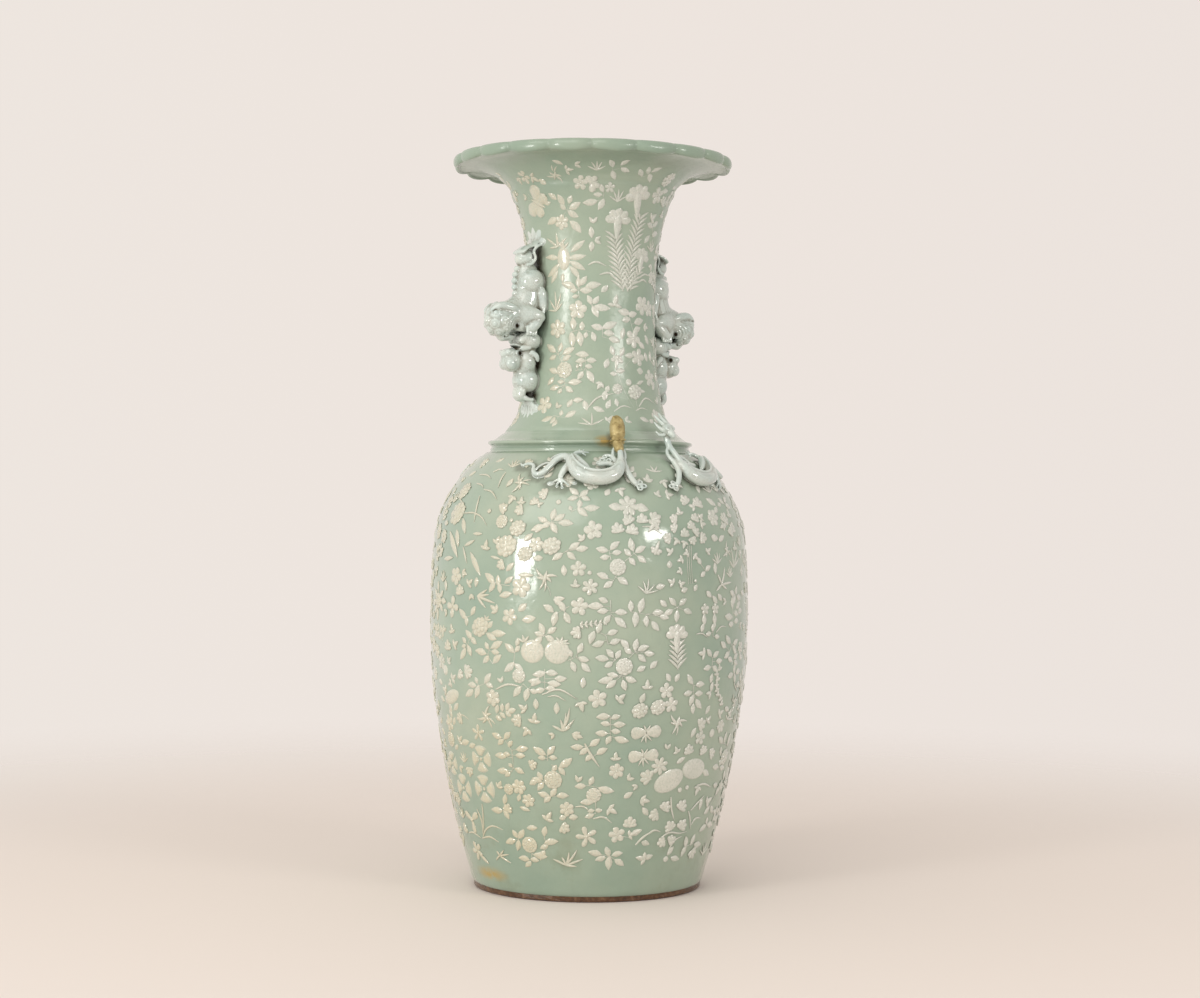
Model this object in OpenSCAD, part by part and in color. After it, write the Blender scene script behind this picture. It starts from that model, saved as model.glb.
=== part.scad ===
// Baluster floor vase in celadon porcelain, made as the real one is: thrown sections luted
// one on another, a lobed mouth, modelled lion handles on the neck and lizard dragons on the
// shoulder. +Z is up, the vase stands on Z = 0, the handles lie along X and the front is -Y.

/* [Vase] */
// Overall height
vase_h = 600; // [540:10:660]
// Diameter of the belly, the widest part
belly_d = 262; // [250:2:276]
// Diameter of the waist of the neck
neck_d = 104.8; // [100:0.4:112]
// Diameter of the lobed mouth
mouth_d = 231; // [221:1:241]
// Diameter of the foot where it stands
foot_d = 187; // [183:1:191]

/* [Walls] */
// Thickness of the body wall
body_wall = 7; // [6:0.5:8]
// Thickness of the neck wall
neck_wall = 6; // [5:0.5:7]
// Thickness of the base inside the foot
base_t = 6; // [5:0.5:8]

/* [Mouth] */
// Number of lobes round the mouth
lobes = 20; // [16:1:24]
// How far the cusps between the lobes cut in
lobe_depth = 3; // [2:0.5:4]
// Turn of the first cusp from the X axis
lobe_turn = 4; // [0:1:17]

/* [Figures] */
// Angle of each dragon's head from the middle of its pair
dragon_spread = 14.5; // [12:0.5:20]
// Turn of the dragon pairs from the front of the vase
dragon_turn = -4; // [-8:1:0]
// Length of the replaced head that stands up from the front left dragon
gilt_head_h = 29; // [26:1:32]

/* [Hidden] */

$fn = 96;
k = vase_h / 600;
belly_r = belly_d / 2;
neck_r = neck_d / 2;
mouth_r = mouth_d / 2;
foot_r = foot_d / 2;

// Heights of the seams between the thrown sections
foot_z = 4.5 * k;
ledge_z = 12 * k;
belly_seam_z = 170 * k;
shoulder_z = 356 * k;
ridge_top_z = 373 * k;
mouth_seam_z = 573 * k;
tongue = 6;
seam_gap = 0.05;

celadon = [0.70, 0.75, 0.67];
pale_celadon = [0.77, 0.80, 0.75];
biscuit = [0.31, 0.21, 0.13];
gilt = [0.75, 0.69, 0.48];

// Outlines as [height, radius] knots of a smooth curve, the heights in a 600 mm vase
body_knots = [for (p = [
    [4.5, 94.5 / 131], [30, 102.3 / 131], [70, 112.3 / 131], [120, 121.8 / 131],
    [170, 128.9 / 131], [215, 1], [255, 130.4 / 131], [290, 128 / 131],
    [305, 124.3 / 131], [318, 118.8 / 131], [335, 108.5 / 131], [348, 97 / 131],
    [356, 86 / 131]
  ]) [p[0] * k, p[1] * belly_r]];
neck_knots = [for (p = [
    [373, 19.1], [378, 14.1], [386, 9.4], [400, 5.6], [430, 1.8], [480, 0], [515, 1.6],
    [540, 5.2], [557, 9.8], [570, 15.2], [573, 17.1]
  ]) [p[0] * k, neck_r + p[1]]];

// Hermite curve through the knots
function knot(K, z, i = 0) = i >= len(K) - 2 || z <= K[i + 1][0] ? i : knot(K, z, i + 1);
function slope(K, i) =
  let(a = max(0, i - 1), b = min(len(K) - 1, i + 1)) (K[b][1] - K[a][1]) / (K[b][0] - K[a][0]);
function radius(K, z) =
  let(i = knot(K, z), h = K[i + 1][0] - K[i][0], t = (z - K[i][0]) / h)
  (2 * t ^ 3 - 3 * t ^ 2 + 1) * K[i][1] + (t ^ 3 - 2 * t ^ 2 + t) * h * slope(K, i)
  + (3 * t ^ 2 - 2 * t ^ 3) * K[i + 1][1] + (t ^ 3 - t ^ 2) * h * slope(K, i + 1);

// Points of an outline between two heights, set in by t
function outline(K, z0, z1, t = 0, n = 16) =
  [for (i = [0:n]) let(z = z0 + (z1 - z0) * i / n) [radius(K, z) - t, z]];
function reversed(P) = [for (i = [len(P) - 1:-1:0]) P[i]];

// Radii where the sections meet
skirt_r = foot_r - 5.5;
foot_in_r = skirt_r - 8;
belly_seam_r = radius(body_knots, belly_seam_z);
collar_r = radius(neck_knots, ridge_top_z);
collar_in_r = collar_r - 10.5;
collar_lip_r = collar_r + 13;
dragon_neck_r = collar_r + 17;
mouth_seam_r = radius(neck_knots, mouth_seam_z);

// ---- Thrown sections ----

module foot_ring() {
  color(biscuit)
    rotate_extrude()
      polygon([
        [foot_in_r, 0], [foot_r - 1, 0], [foot_r, 1], [foot_r, foot_z], [skirt_r, foot_z],
        [skirt_r, ledge_z], [foot_in_r, ledge_z]
      ]);
}

module base_disc() {
  color(pale_celadon)
    translate([0, 0, ledge_z])
      cylinder(r = skirt_r, h = base_t);
}

module lower_body() {
  floor_z = ledge_z + base_t;
  color(celadon)
    rotate_extrude()
      polygon(concat(
        [[skirt_r, foot_z]],
        outline(body_knots, foot_z, belly_seam_z),
        [
          [belly_seam_r - body_wall / 2, belly_seam_z],
          [belly_seam_r - body_wall / 2, belly_seam_z + tongue],
          [belly_seam_r - body_wall, belly_seam_z + tongue]
        ],
        reversed(outline(body_knots, floor_z, belly_seam_z, body_wall, 10)),
        [[skirt_r, floor_z]]
      ));
}

module upper_body() {
  inner_top_z = shoulder_z - body_wall;
  color(celadon)
    rotate_extrude()
      polygon(concat(
        [[belly_seam_r - body_wall / 2, belly_seam_z]],
        outline(body_knots, belly_seam_z, shoulder_z, 0, 24),
        [[collar_in_r, shoulder_z], [collar_in_r, inner_top_z]],
        reversed(outline(
          body_knots, belly_seam_z + tongue, inner_top_z - body_wall, body_wall, 14
        )),
        [[belly_seam_r - body_wall / 2, belly_seam_z + tongue]]
      ));
}

// A moulded collar that covers the joint of neck and shoulder
module shoulder_ridge() {
  lip_z = shoulder_z + 7.5 * k;
  color(celadon)
    rotate_extrude()
      polygon(concat(
        [
          [collar_r, shoulder_z], [collar_lip_r - 1.5, shoulder_z],
          [collar_lip_r - 1.5, shoulder_z + 2 * k], [collar_lip_r - 3, shoulder_z + 4.5 * k]
        ],
        [for (a = [-60:30:60]) [collar_lip_r - 1.5 + 1.5 * cos(a), lip_z + 1.5 * sin(a)]],
        [
          [collar_lip_r - 5, lip_z + 2.6 * k], [collar_r + 2, ridge_top_z - 0.5],
          [collar_r, ridge_top_z]
        ]
      ));
}

module neck() {
  inner_z = ridge_top_z + 10 * k;
  bottom_in_r = collar_in_r - 3;
  color(celadon)
    rotate_extrude()
      polygon(concat(
        [
          [bottom_in_r, shoulder_z - tongue], [collar_in_r, shoulder_z - tongue],
          [collar_in_r, shoulder_z], [collar_r, shoulder_z]
        ],
        outline(neck_knots, ridge_top_z, mouth_seam_z, 0, 32),
        [
          [mouth_seam_r - neck_wall / 2, mouth_seam_z],
          [mouth_seam_r - neck_wall / 2, mouth_seam_z + tongue],
          [mouth_seam_r - neck_wall, mouth_seam_z + tongue]
        ],
        reversed(outline(neck_knots, inner_z, mouth_seam_z, neck_wall, 20)),
        [[bottom_in_r, ridge_top_z]]
      ));
}

// Radius of the lobed edge at angle a: flat lobes with sharp cusps between them
function lobe_r(a) =
  let(f = (a - lobe_turn) * lobes / 360, c = abs(2 * (f - floor(f)) - 1))
  mouth_r - lobe_depth * c ^ 3;

module mouth_rim() {
  throat_r = mouth_seam_r - neck_wall;
  flare = mouth_r - mouth_seam_r;
  color(celadon)
    intersection() {
      rotate_extrude()
        polygon(concat(
          [[mouth_seam_r - neck_wall / 2, mouth_seam_z]],
          [for (p = [
              [0, 0], [0.13, 7], [0.3, 13.5], [0.55, 18], [0.79, 19.5], [0.91, 18.8],
              [0.955, 17], [1.02, 17], [1.04, 20], [1.04, 24], [0.98, 27]
            ]) [mouth_seam_r + p[0] * flare, mouth_seam_z + p[1] * k]],
          [for (p = [
              [0.86, 26.8], [0.55, 25.5], [0.3, 22], [0.14, 16.5], [0.02, 9]
            ]) [mouth_seam_r + p[0] * flare, mouth_seam_z + p[1] * k]],
          [
            [throat_r, mouth_seam_z + tongue],
            [mouth_seam_r - neck_wall / 2, mouth_seam_z + tongue]
          ]
        ));
      linear_extrude(vase_h + 1)
        polygon([for (a = [0:3:357]) lobe_r(a) * [cos(a), sin(a)]]);
    }
}

// ---- Modelled figures, each a chain of [x, y, z, radius] balls ----

module ball(p) {
  translate([p[0], p[1], p[2]])
    sphere(p[3], $fn = 8);
}

module chain(P) {
  for (i = [0:len(P) - 2])
    hull() {
      ball(P[i]);
      ball(P[i + 1]);
    }
}

module both_sides() {
  children();
  mirror([0, 1, 0])
    children();
}

// The neck, a hair larger, which the handle figures are cut to
module neck_cutter() {
  rotate_extrude()
    polygon(concat(
      [[0, ridge_top_z], [collar_r + seam_gap, ridge_top_z]],
      outline(neck_knots, ridge_top_z, mouth_seam_z, -seam_gap, 32),
      [[0, mouth_seam_z]]
    ));
}

// The shoulder and its ridge, a hair larger, which the dragons are cut to
module shoulder_cutter() {
  rotate_extrude()
    polygon(concat(
      [[0, 300 * k]],
      outline(body_knots, 300 * k, shoulder_z, -seam_gap, 12),
      [
        [collar_lip_r + seam_gap, shoulder_z], [collar_lip_r + seam_gap, shoulder_z + 9 * k],
        [collar_r + 2 + seam_gap, ridge_top_z]
      ],
      outline(neck_knots, ridge_top_z, 400 * k, -seam_gap, 8),
      [[0, 400 * k]]
    ));
}

// A handle figure's own axes: X out from the waist of the neck, Y across, Z up from the foot
module on_neck() {
  translate([neck_r, 0, 0])
    scale([1, 1, k])
      children();
}

module lion_body_shape() {
  on_neck() {
    // back from the rump to the shoulders, head down
    chain([[18, 0, 497, 10.5], [19, 0, 484, 9.5], [20, 0, 470, 10.5]]);
    both_sides() {
      // haunch, hind leg and paw on the neck
      chain([[16, 7.5, 496, 9.5], [8, 10.5, 483, 5], [3, 9, 472, 4]]);
      // foreleg and paw on the cub
      chain([[18, 7, 469, 7], [9, 10.5, 465, 5], [14, 9.5, 454, 4]]);
    }
  }
}

module lion_head_shape() {
  on_neck() {
    chain([[26, 0, 468, 10], [39, 0, 464, 14], [29, 0, 455, 8]]);
    both_sides()
      chain([[40, 7, 470, 7], [38, 8, 458, 7], [30, 6, 454, 5.5]]);
    chain([[48, 0, 470, 6], [49, 0, 461, 5.5], [43, 0, 452, 5]]);
  }
}

module lion_tail_shape() {
  on_neck() {
    chain([
      [18, 0, 505, 4.5], [25, 0, 511, 4], [24, 0, 518, 4.5], [14, 0, 524, 4], [5, 0, 530, 4]
    ]);
    both_sides()
      chain([[4, 2, 528, 3], [5, 7, 533, 3], [6, 6, 540, 2.5]]);
  }
}

module cub_body_shape() {
  on_neck() {
    // raised rump under the lion's paws
    chain([[10, 0, 446, 9], [15, 0, 440, 8], [12, 0, 428, 7.5]]);
    both_sides()
      chain([[12, 6, 446, 7], [8, 7, 434, 4.5]]);
    // chest, belly and feet
    chain([[12, 0, 428, 7.5], [14, 0, 415, 10], [8, 0, 402, 5]]);
    both_sides()
      chain([[13, 7, 414, 7], [15, 8, 404, 3.5], [17, 8, 399, 3]]);
    // ribbons on the neck
    for (y = [-6, -2, 2, 6])
      chain([[5, y / 2, 398, 2.2], [7, y, 389, 2], [12, y * 1.4, 380, 1.8]]);
  }
}

module cub_head_shape() {
  on_neck() {
    chain([[17, 0, 431, 7], [27, 0, 431, 9]]);
    both_sides()
      chain([[22, 5, 436, 4.5], [29, 4, 440, 3.5], [31, 3, 434, 4]]);
    for (y = [-3, 3])
      chain([[26, y, 424, 5], [31, y, 427, 4], [32, y, 433, 3.5]]);
  }
}

// side = 1 gives the right handle, -1 the left
module handle_side(side) {
  if (side > 0)
    children();
  else
    mirror([1, 0, 0])
      children();
}

module lion_body(side) {
  color(pale_celadon)
    handle_side(side)
      difference() {
        lion_body_shape();
        neck_cutter();
      }
}

module lion_head(side) {
  color(pale_celadon)
    handle_side(side)
      difference() {
        lion_head_shape();
        lion_body_shape();
        neck_cutter();
      }
}

module lion_tail(side) {
  color(pale_celadon)
    handle_side(side)
      difference() {
        lion_tail_shape();
        lion_body_shape();
        neck_cutter();
      }
}

module cub_body(side) {
  color(pale_celadon)
    handle_side(side)
      difference() {
        cub_body_shape();
        lion_body_shape();
        lion_head_shape();
        neck_cutter();
      }
}

module cub_head(side) {
  color(pale_celadon)
    handle_side(side)
      difference() {
        cub_head_shape();
        cub_body_shape();
        lion_body_shape();
        lion_head_shape();
        neck_cutter();
      }
}

// A dragon's points are [angle from its head, height, lift off the shoulder, radius]
function on_shoulder(p) =
  let(a = dragon_spread + p[0], r = radius(body_knots, min(p[1] * k, shoulder_z)) + p[2])
  [r * sin(a), -r * cos(a), p[1] * k, p[3]];

module crawl(P) {
  chain([for (p = P) on_shoulder(p)]);
}

module dragon_shape() {
  // curved body from hips to breast
  crawl([
    [21, 345, 4, 3.2], [18, 337, 4.5, 3.6], [13, 332, 5, 4], [7.5, 332, 5, 4],
    [2.5, 337, 5, 4], [0, 344, 5, 3.8], [-0.5, 350, 6, 3.4]
  ]);
  // tail
  crawl([
    [21, 345, 4, 3], [26, 348, 2.5, 2.5], [31, 343, 2, 2.2], [34, 337, 2, 2],
    [38, 338, 2, 1.7], [41, 344, 2, 1.4], [46, 343.5, 1.5, 1.2]
  ]);
  // hind legs
  crawl([[21, 344, 4, 2.8], [24, 337, 3, 2.2], [24.5, 330, 1.5, 2.4]]);
  crawl([[21, 346, 4, 2.6], [18.5, 352, 4, 2.2], [14.5, 351, 3, 2]]);
  // forelegs
  crawl([[1, 340, 4, 2.8], [-4, 331, 2.5, 2.2], [-8.5, 327, 1.5, 2.6]]);
  crawl([[2, 342, 5, 2.6], [6, 347, 4, 2.2], [10, 341, 3, 2.6]]);
}

function above_neck(x, out, z, r) = [x, -(dragon_neck_r + out), z * k, r];

module dragon_head_shape() {
  rotate([0, 0, dragon_spread]) {
    chain([above_neck(0, 1, 354, 3.4), above_neck(0, 2, 364, 3.6), above_neck(0, 0, 373, 5)]);
    for (x = [-3, 3])
      chain([above_neck(x, 0, 366, 3), above_neck(x * 1.3, -2, 378, 3)]);
    chain([above_neck(0, 0, 373, 5), above_neck(0, 2, 377, 3.5), above_neck(0, 5, 371, 2.6)]);
    for (x = [-1, 1])
      chain([above_neck(x * 3, -3, 376, 2), above_neck(x * 4.5, -6, 382, 1.4)]);
  }
}

// side = 1 gives the right dragon of a pair; turn = 0 is the front pair, 180 the back pair
module dragon_place(side, turn) {
  rotate([0, 0, dragon_turn + turn])
    if (side > 0)
      children();
    else
      mirror([1, 0, 0])
        children();
}

module dragon(side, turn) {
  color(pale_celadon)
    dragon_place(side, turn)
      difference() {
        dragon_shape();
        shoulder_cutter();
      }
}

module dragon_head(side, turn) {
  color(pale_celadon)
    dragon_place(side, turn)
      difference() {
        dragon_head_shape();
        dragon_shape();
        shoulder_cutter();
      }
}

// The lost head, replaced by a plain gilded egg on a short stem
module gilt_head_shape() {
  stem_h = gilt_head_h / 3;
  egg_h = gilt_head_h - stem_h;
  base_z = 353 * k;
  rotate([0, 0, dragon_spread])
    translate([0, -dragon_neck_r, base_z])
      rotate_extrude()
        polygon(concat(
          [[0, 0], [3.2, 0], [3.4, stem_h * 0.8]],
          [for (a = [-50:20:90])
              [5.9 * cos(a), stem_h + egg_h / 2 + egg_h / 2 * sin(a)]],
          [[0, gilt_head_h]]
        ));
}

module gilt_head() {
  color(gilt)
    dragon_place(-1, 0)
      gilt_head_shape();
}

foot_ring();
base_disc();
lower_body();
upper_body();
shoulder_ridge();
neck();
mouth_rim();
lion_body(-1);  // left_lion_body
lion_head(-1);  // left_lion_head
lion_tail(-1);  // left_lion_tail
cub_body(-1);  // left_cub_body
cub_head(-1);  // left_cub_head
lion_body(1);  // right_lion_body
lion_head(1);  // right_lion_head
lion_tail(1);  // right_lion_tail
cub_body(1);  // right_cub_body
cub_head(1);  // right_cub_head
dragon(-1, 0);  // front_left_dragon
gilt_head();  // front_left_dragon_gilt_head
dragon(1, 0);  // front_right_dragon
dragon_head(1, 0);  // front_right_dragon_head
dragon(-1, 180);  // back_left_dragon
dragon_head(-1, 180);  // back_left_dragon_head
dragon(1, 180);  // back_right_dragon
dragon_head(1, 180);  // back_right_dragon_head
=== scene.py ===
"""Celadon baluster vase with lion handles, shoulder dragons and raised slip flowers.

Lengths in the modelling code are millimetres in the CAD frame: +Z up, the handles along X, the
front at -Y. An angle on the vase is in degrees from the front, positive towards +X.
"""
import bpy
import math
import numpy as np
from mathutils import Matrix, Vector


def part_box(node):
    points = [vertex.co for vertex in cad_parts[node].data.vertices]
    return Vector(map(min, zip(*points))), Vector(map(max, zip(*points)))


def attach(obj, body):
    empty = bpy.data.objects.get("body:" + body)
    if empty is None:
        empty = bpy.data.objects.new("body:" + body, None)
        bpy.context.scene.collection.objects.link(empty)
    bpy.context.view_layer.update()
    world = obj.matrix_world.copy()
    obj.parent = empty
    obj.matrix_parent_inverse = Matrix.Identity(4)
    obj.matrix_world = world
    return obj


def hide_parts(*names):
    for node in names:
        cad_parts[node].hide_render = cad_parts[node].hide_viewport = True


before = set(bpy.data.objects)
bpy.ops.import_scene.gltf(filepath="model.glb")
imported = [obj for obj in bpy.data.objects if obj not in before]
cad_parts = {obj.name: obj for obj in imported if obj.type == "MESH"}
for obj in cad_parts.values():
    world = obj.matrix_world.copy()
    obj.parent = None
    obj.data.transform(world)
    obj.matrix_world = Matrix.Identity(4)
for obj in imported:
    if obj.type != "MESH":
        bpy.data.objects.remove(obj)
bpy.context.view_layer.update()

MM = 0.001
TAU = 2 * math.pi


def mm_box(node):
    """Lowest and highest corner of a CAD node, in millimetres."""
    low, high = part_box(node)
    return np.array(low) / MM, np.array(high) / MM


# ---------------------------------------------------------------- driving sizes, from the frame

HEIGHT = mm_box("mouth_rim")[1][2]
MOUTH_R = mm_box("mouth_rim")[1][:2].max()
FOOT_TOP = mm_box("lower_body")[0][2]
SHOULDER_TOP = mm_box("shoulder_ridge")[0][2]
RIDGE_TOP = mm_box("shoulder_ridge")[1][2]
RIDGE_R = mm_box("shoulder_ridge")[1][0]
MOUTH_SEAM = mm_box("mouth_rim")[0][2]
BASE_TOP = mm_box("base_disc")[1][2]
BASE_R = mm_box("base_disc")[1][0]
NECK_R = 52.4          # the CAD neck at its waist; the handle figures are placed from it
LOBES = 20
LOBE_TURN = 4          # degrees from +X to the first cusp
WALL = 7
COLLAR_IN_R = 61.5     # the hole in the shoulder that the neck stands in

# ---------------------------------------------------------------- camera

CAMERA_AZIMUTH = -32
CAMERA_DISTANCE = 1921.6
CAMERA_HEIGHT = 314.9
CAMERA_SIDE = 8.3      # the vase stands this far left of the picture's middle
CAMERA_ROLL = -0.46
CAMERA_PITCH = 0.1
FOCAL_MM = 69.6
SENSOR_MM = 36


def look_direction(azimuth):
    """Unit vector on the floor from the vase's axis towards a place at this azimuth."""
    a = math.radians(azimuth)
    return np.array([math.sin(a), -math.cos(a), 0.0])


def add_object(name, data):
    obj = bpy.data.objects.new(name, data)
    bpy.context.scene.collection.objects.link(obj)
    return obj


def make_camera():
    data = bpy.data.cameras.new("camera")
    data.lens = FOCAL_MM
    data.sensor_width = SENSOR_MM
    data.sensor_fit = "HORIZONTAL"
    data.clip_end = 100
    cam = add_object("camera", data)
    a = math.radians(CAMERA_AZIMUTH)
    right = np.array([math.cos(a), math.sin(a), 0.0])
    place = look_direction(CAMERA_AZIMUTH) * CAMERA_DISTANCE + right * CAMERA_SIDE
    cam.location = (place[0] * MM, place[1] * MM, CAMERA_HEIGHT * MM)
    cam.rotation_euler = (math.radians(90 + CAMERA_PITCH), math.radians(CAMERA_ROLL), a)
    bpy.context.scene.camera = cam


make_camera()

# ---------------------------------------------------------------- node materials


def new_material(name):
    mat = bpy.data.materials.new(name)
    mat.use_nodes = True
    tree = mat.node_tree
    tree.nodes.clear()
    out = tree.nodes.new("ShaderNodeOutputMaterial")
    shader = tree.nodes.new("ShaderNodeBsdfPrincipled")
    tree.links.new(shader.outputs[0], out.inputs[0])
    return mat, tree, shader


def put(node, values):
    """Sets a node's inputs: a value is a number, a colour or another node's socket."""
    for key, value in values.items():
        socket = node.inputs[key]
        if isinstance(value, bpy.types.NodeSocket):
            node.id_data.links.new(value, socket)
        elif isinstance(value, tuple) and len(socket.default_value) == 4:
            socket.default_value = (*value, 1)
        else:
            socket.default_value = value
    return node


def noise(tree, scale, detail=4, rough=0.5):
    """A noise texture in object coordinates, in cycles per metre; returns its factor socket."""
    where = tree.nodes.new("ShaderNodeTexCoord").outputs["Object"]
    texture = put(tree.nodes.new("ShaderNodeTexNoise"),
                  {"Vector": where, "Scale": scale, "Detail": detail, "Roughness": rough})
    return texture.outputs["Fac"]


def ramp(tree, fac, stops):
    """Colour ramp: stops are (position, (r, g, b))."""
    node = put(tree.nodes.new("ShaderNodeValToRGB"), {0: fac})
    element = node.color_ramp.elements
    while len(element) < len(stops):
        element.new(0.5)
    for e, (position, colour) in zip(element, stops):
        e.position = position
        e.color = (*colour, 1)
    return node.outputs[0]


def mix(tree, fac, a, b):
    """Colour a where fac is 0, colour b where it is 1."""
    node = tree.nodes.new("ShaderNodeMix")
    node.data_type = "RGBA"
    return put(node, {0: fac, 6: a, 7: b}).outputs[2]


def band(tree, fac, low, high):
    """0 below low, 1 above high, smooth between; low may be the larger one."""
    node = tree.nodes.new("ShaderNodeMapRange")
    node.interpolation_type = "SMOOTHSTEP"
    return put(node, {"Value": fac, "From Min": low, "From Max": high}).outputs[0]


def product(tree, a, b):
    node = tree.nodes.new("ShaderNodeMath")
    node.operation = "MULTIPLY"
    return put(node, {0: a, 1: b}).outputs[0]


def bump(tree, shader, heights):
    """Adds up bumps: each is (factor socket, distance in metres, strength)."""
    last = {}
    for fac, distance, strength in heights:
        node = put(tree.nodes.new("ShaderNodeBump"),
                   {"Distance": distance, "Strength": strength, "Height": fac, **last})
        last = {"Normal": node.outputs[0]}
    put(shader, last)


def height_socket(tree):
    """The height of a point above the table, in metres."""
    where = tree.nodes.new("ShaderNodeTexCoord").outputs["Object"]
    return put(tree.nodes.new("ShaderNodeSeparateXYZ"), {0: where}).outputs[2]


def mark(tree, name):
    """A value stored on the mesh's points."""
    node = tree.nodes.new("ShaderNodeAttribute")
    node.attribute_name = name
    return node.outputs["Fac"]


GREEN = (0.318, 0.400, 0.312)
GREEN_DEEP = (0.262, 0.356, 0.282)
GREEN_PALE = (0.368, 0.432, 0.336)
OLIVE = (0.190, 0.175, 0.085)
SLIP = (0.650, 0.655, 0.590)
SLIP_CREAM = (0.570, 0.535, 0.385)
SLIP_THIN = (0.445, 0.500, 0.410)       # green shows through where it is brushed thin
SLIP_SHADE = (0.560, 0.580, 0.510)
SLIP_EDGE = (0.430, 0.475, 0.385)
OCHRE = (0.400, 0.270, 0.060)
POOL_AND_SHADE_GREEN = (0.205, 0.285, 0.215)     # painted shade low on the body and under ledges, and where the glaze pools
GAP_SHADE_AND_DIRT = (0.045, 0.034, 0.018)             # painted shade, with some dirt, in gaps and where a figure meets the wall
# painted shade in the figures' creases, a brown stain in some
FIGURE_CREASE_SHADE_AND_STAIN = (0.120, 0.095, 0.042)
# painted shade in the figures' eye holes, mouths, hollows and gaps
FIGURE_SHADE_BLACK = (0.022, 0.015, 0.008)


def glossy(shader, rough=0.12, coat=0.6):
    put(shader, {"Roughness": rough, "IOR": 1.5, "Coat Weight": coat, "Coat Roughness": 0.06})


def make_celadon(name, rough, coat, ripple):
    mat, tree, shader = new_material(name)
    cloud = noise(tree, 9, 3, 0.5)
    fine = noise(tree, 70, 4, 0.6)
    colour = ramp(tree, cloud, [(0.32, GREEN_DEEP), (0.5, GREEN), (0.7, GREEN_PALE)])
    colour = mix(tree, 0.16, colour,
                 ramp(tree, fine, [(0.35, GREEN_DEEP), (0.65, GREEN_PALE)]))
    height = height_socket(tree)
    stain_noise = noise(tree, 22, 5, 0.65)
    low = product(tree, band(tree, height, 0.10, 0.005),
                  band(tree, stain_noise, 0.52, 0.74))
    colour = mix(tree, product(tree, low, 0.55), colour, OLIVE)
    # painted shade: the glaze darker towards the bottom of the body
    colour = mix(tree, product(tree, band(tree, height, 0.17, 0.0), 0.35),
                 colour, POOL_AND_SHADE_GREEN)
    # painted shade under ledges and in grooves, mixed with glaze pooling
    colour = mix(tree, mark(tree, "pooled_glaze_and_shade"), colour, POOL_AND_SHADE_GREEN)
    blotches = band(tree, noise(tree, 130, 5, 0.7), 0.28, 0.54)
    smear = product(tree, mark(tree, "smear"), blotches)
    colour = mix(tree, smear, colour, OCHRE)
    # painted shade in gaps and where figures meet the wall, with some dirt
    colour = mix(tree, mark(tree, "painted_shade_and_stain"), colour, GAP_SHADE_AND_DIRT)
    put(shader, {"Base Color": colour})
    glossy(shader, rough, coat)
    bump(tree, shader, [
        (noise(tree, 38, 2, 0.5), 0.0024, 0.5),
        (noise(tree, 150, 2, 0.5), 0.00040 * ripple, 0.5),
        (noise(tree, 900, 2, 0.5), 0.00008 * ripple, 0.6),
    ])
    return mat


def make_figure_glaze():
    mat, tree, shader = new_material("figure_glaze")
    cloud = noise(tree, 60, 4, 0.55)
    colour = ramp(tree, cloud, [
        (0.3, (0.480, 0.580, 0.545)), (0.5, (0.545, 0.620, 0.575)), (0.72, (0.605, 0.650, 0.595))
    ])
    # painted shade in creases, partly a brown stain
    colour = mix(tree, mark(tree, "hollow"), colour, FIGURE_CREASE_SHADE_AND_STAIN)
    # painted shade in holes and gaps, with a stain in places; no coat there
    colour = mix(tree, mark(tree, "painted_shade_and_stain"), colour, FIGURE_SHADE_BLACK)
    put(shader, {"Base Color": colour})
    glossy(shader, 0.08, 1.0)
    gloss_outside_shade = band(tree, mark(tree, "painted_shade_and_stain"), 0.7, 0.2)
    put(shader, {"Coat Weight": gloss_outside_shade, "Specular IOR Level": product(tree, gloss_outside_shade, 0.5)})
    bump(tree, shader, [(noise(tree, 160, 2, 0.5), 0.0005, 0.4)])
    return mat


def make_slip():
    mat, tree, shader = new_material("white_slip")
    cloud = noise(tree, 45, 4, 0.6)
    colour = ramp(tree, cloud, [(0.3, SLIP_SHADE), (0.6, SLIP)])
    colour = mix(tree, mark(tree, "cream"), colour, SLIP_CREAM)
    brushed = noise(tree, 620, 3, 0.65)
    thin = band(tree, brushed, 0.56, 0.34)
    colour = mix(tree, product(tree, thin, 0.55), colour, SLIP_THIN)
    colour = mix(tree, mark(tree, "edge"), colour, SLIP_EDGE)
    put(shader, {"Base Color": colour})
    glossy(shader, 0.17, 0.8)
    bump(tree, shader, [
        (brushed, 0.0009, 0.6), (noise(tree, 150, 2, 0.5), 0.0008, 0.6)
    ])
    return mat


def make_base_glaze():
    mat, tree, shader = new_material("base_glaze")
    colour = ramp(tree, noise(tree, 30, 4, 0.6),
                  [(0.3, (0.50, 0.54, 0.45)), (0.7, (0.62, 0.63, 0.55))])
    put(shader, {"Base Color": colour})
    glossy(shader, 0.3, 0.3)
    bump(tree, shader, [(noise(tree, 120, 3, 0.5), 0.0004, 0.4)])
    return mat


def make_biscuit():
    mat, tree, shader = new_material("biscuit")
    grain = noise(tree, 240, 6, 0.7)
    colour = ramp(tree, grain, [
        (0.3, (0.035, 0.016, 0.007)), (0.52, (0.095, 0.042, 0.017)), (0.75, (0.21, 0.12, 0.06))
    ])
    put(shader, {"Base Color": colour, "Roughness": band(tree, grain, 0.2, 1.6)})
    bump(tree, shader, [(grain, 0.0008, 0.8)])
    return mat


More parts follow.
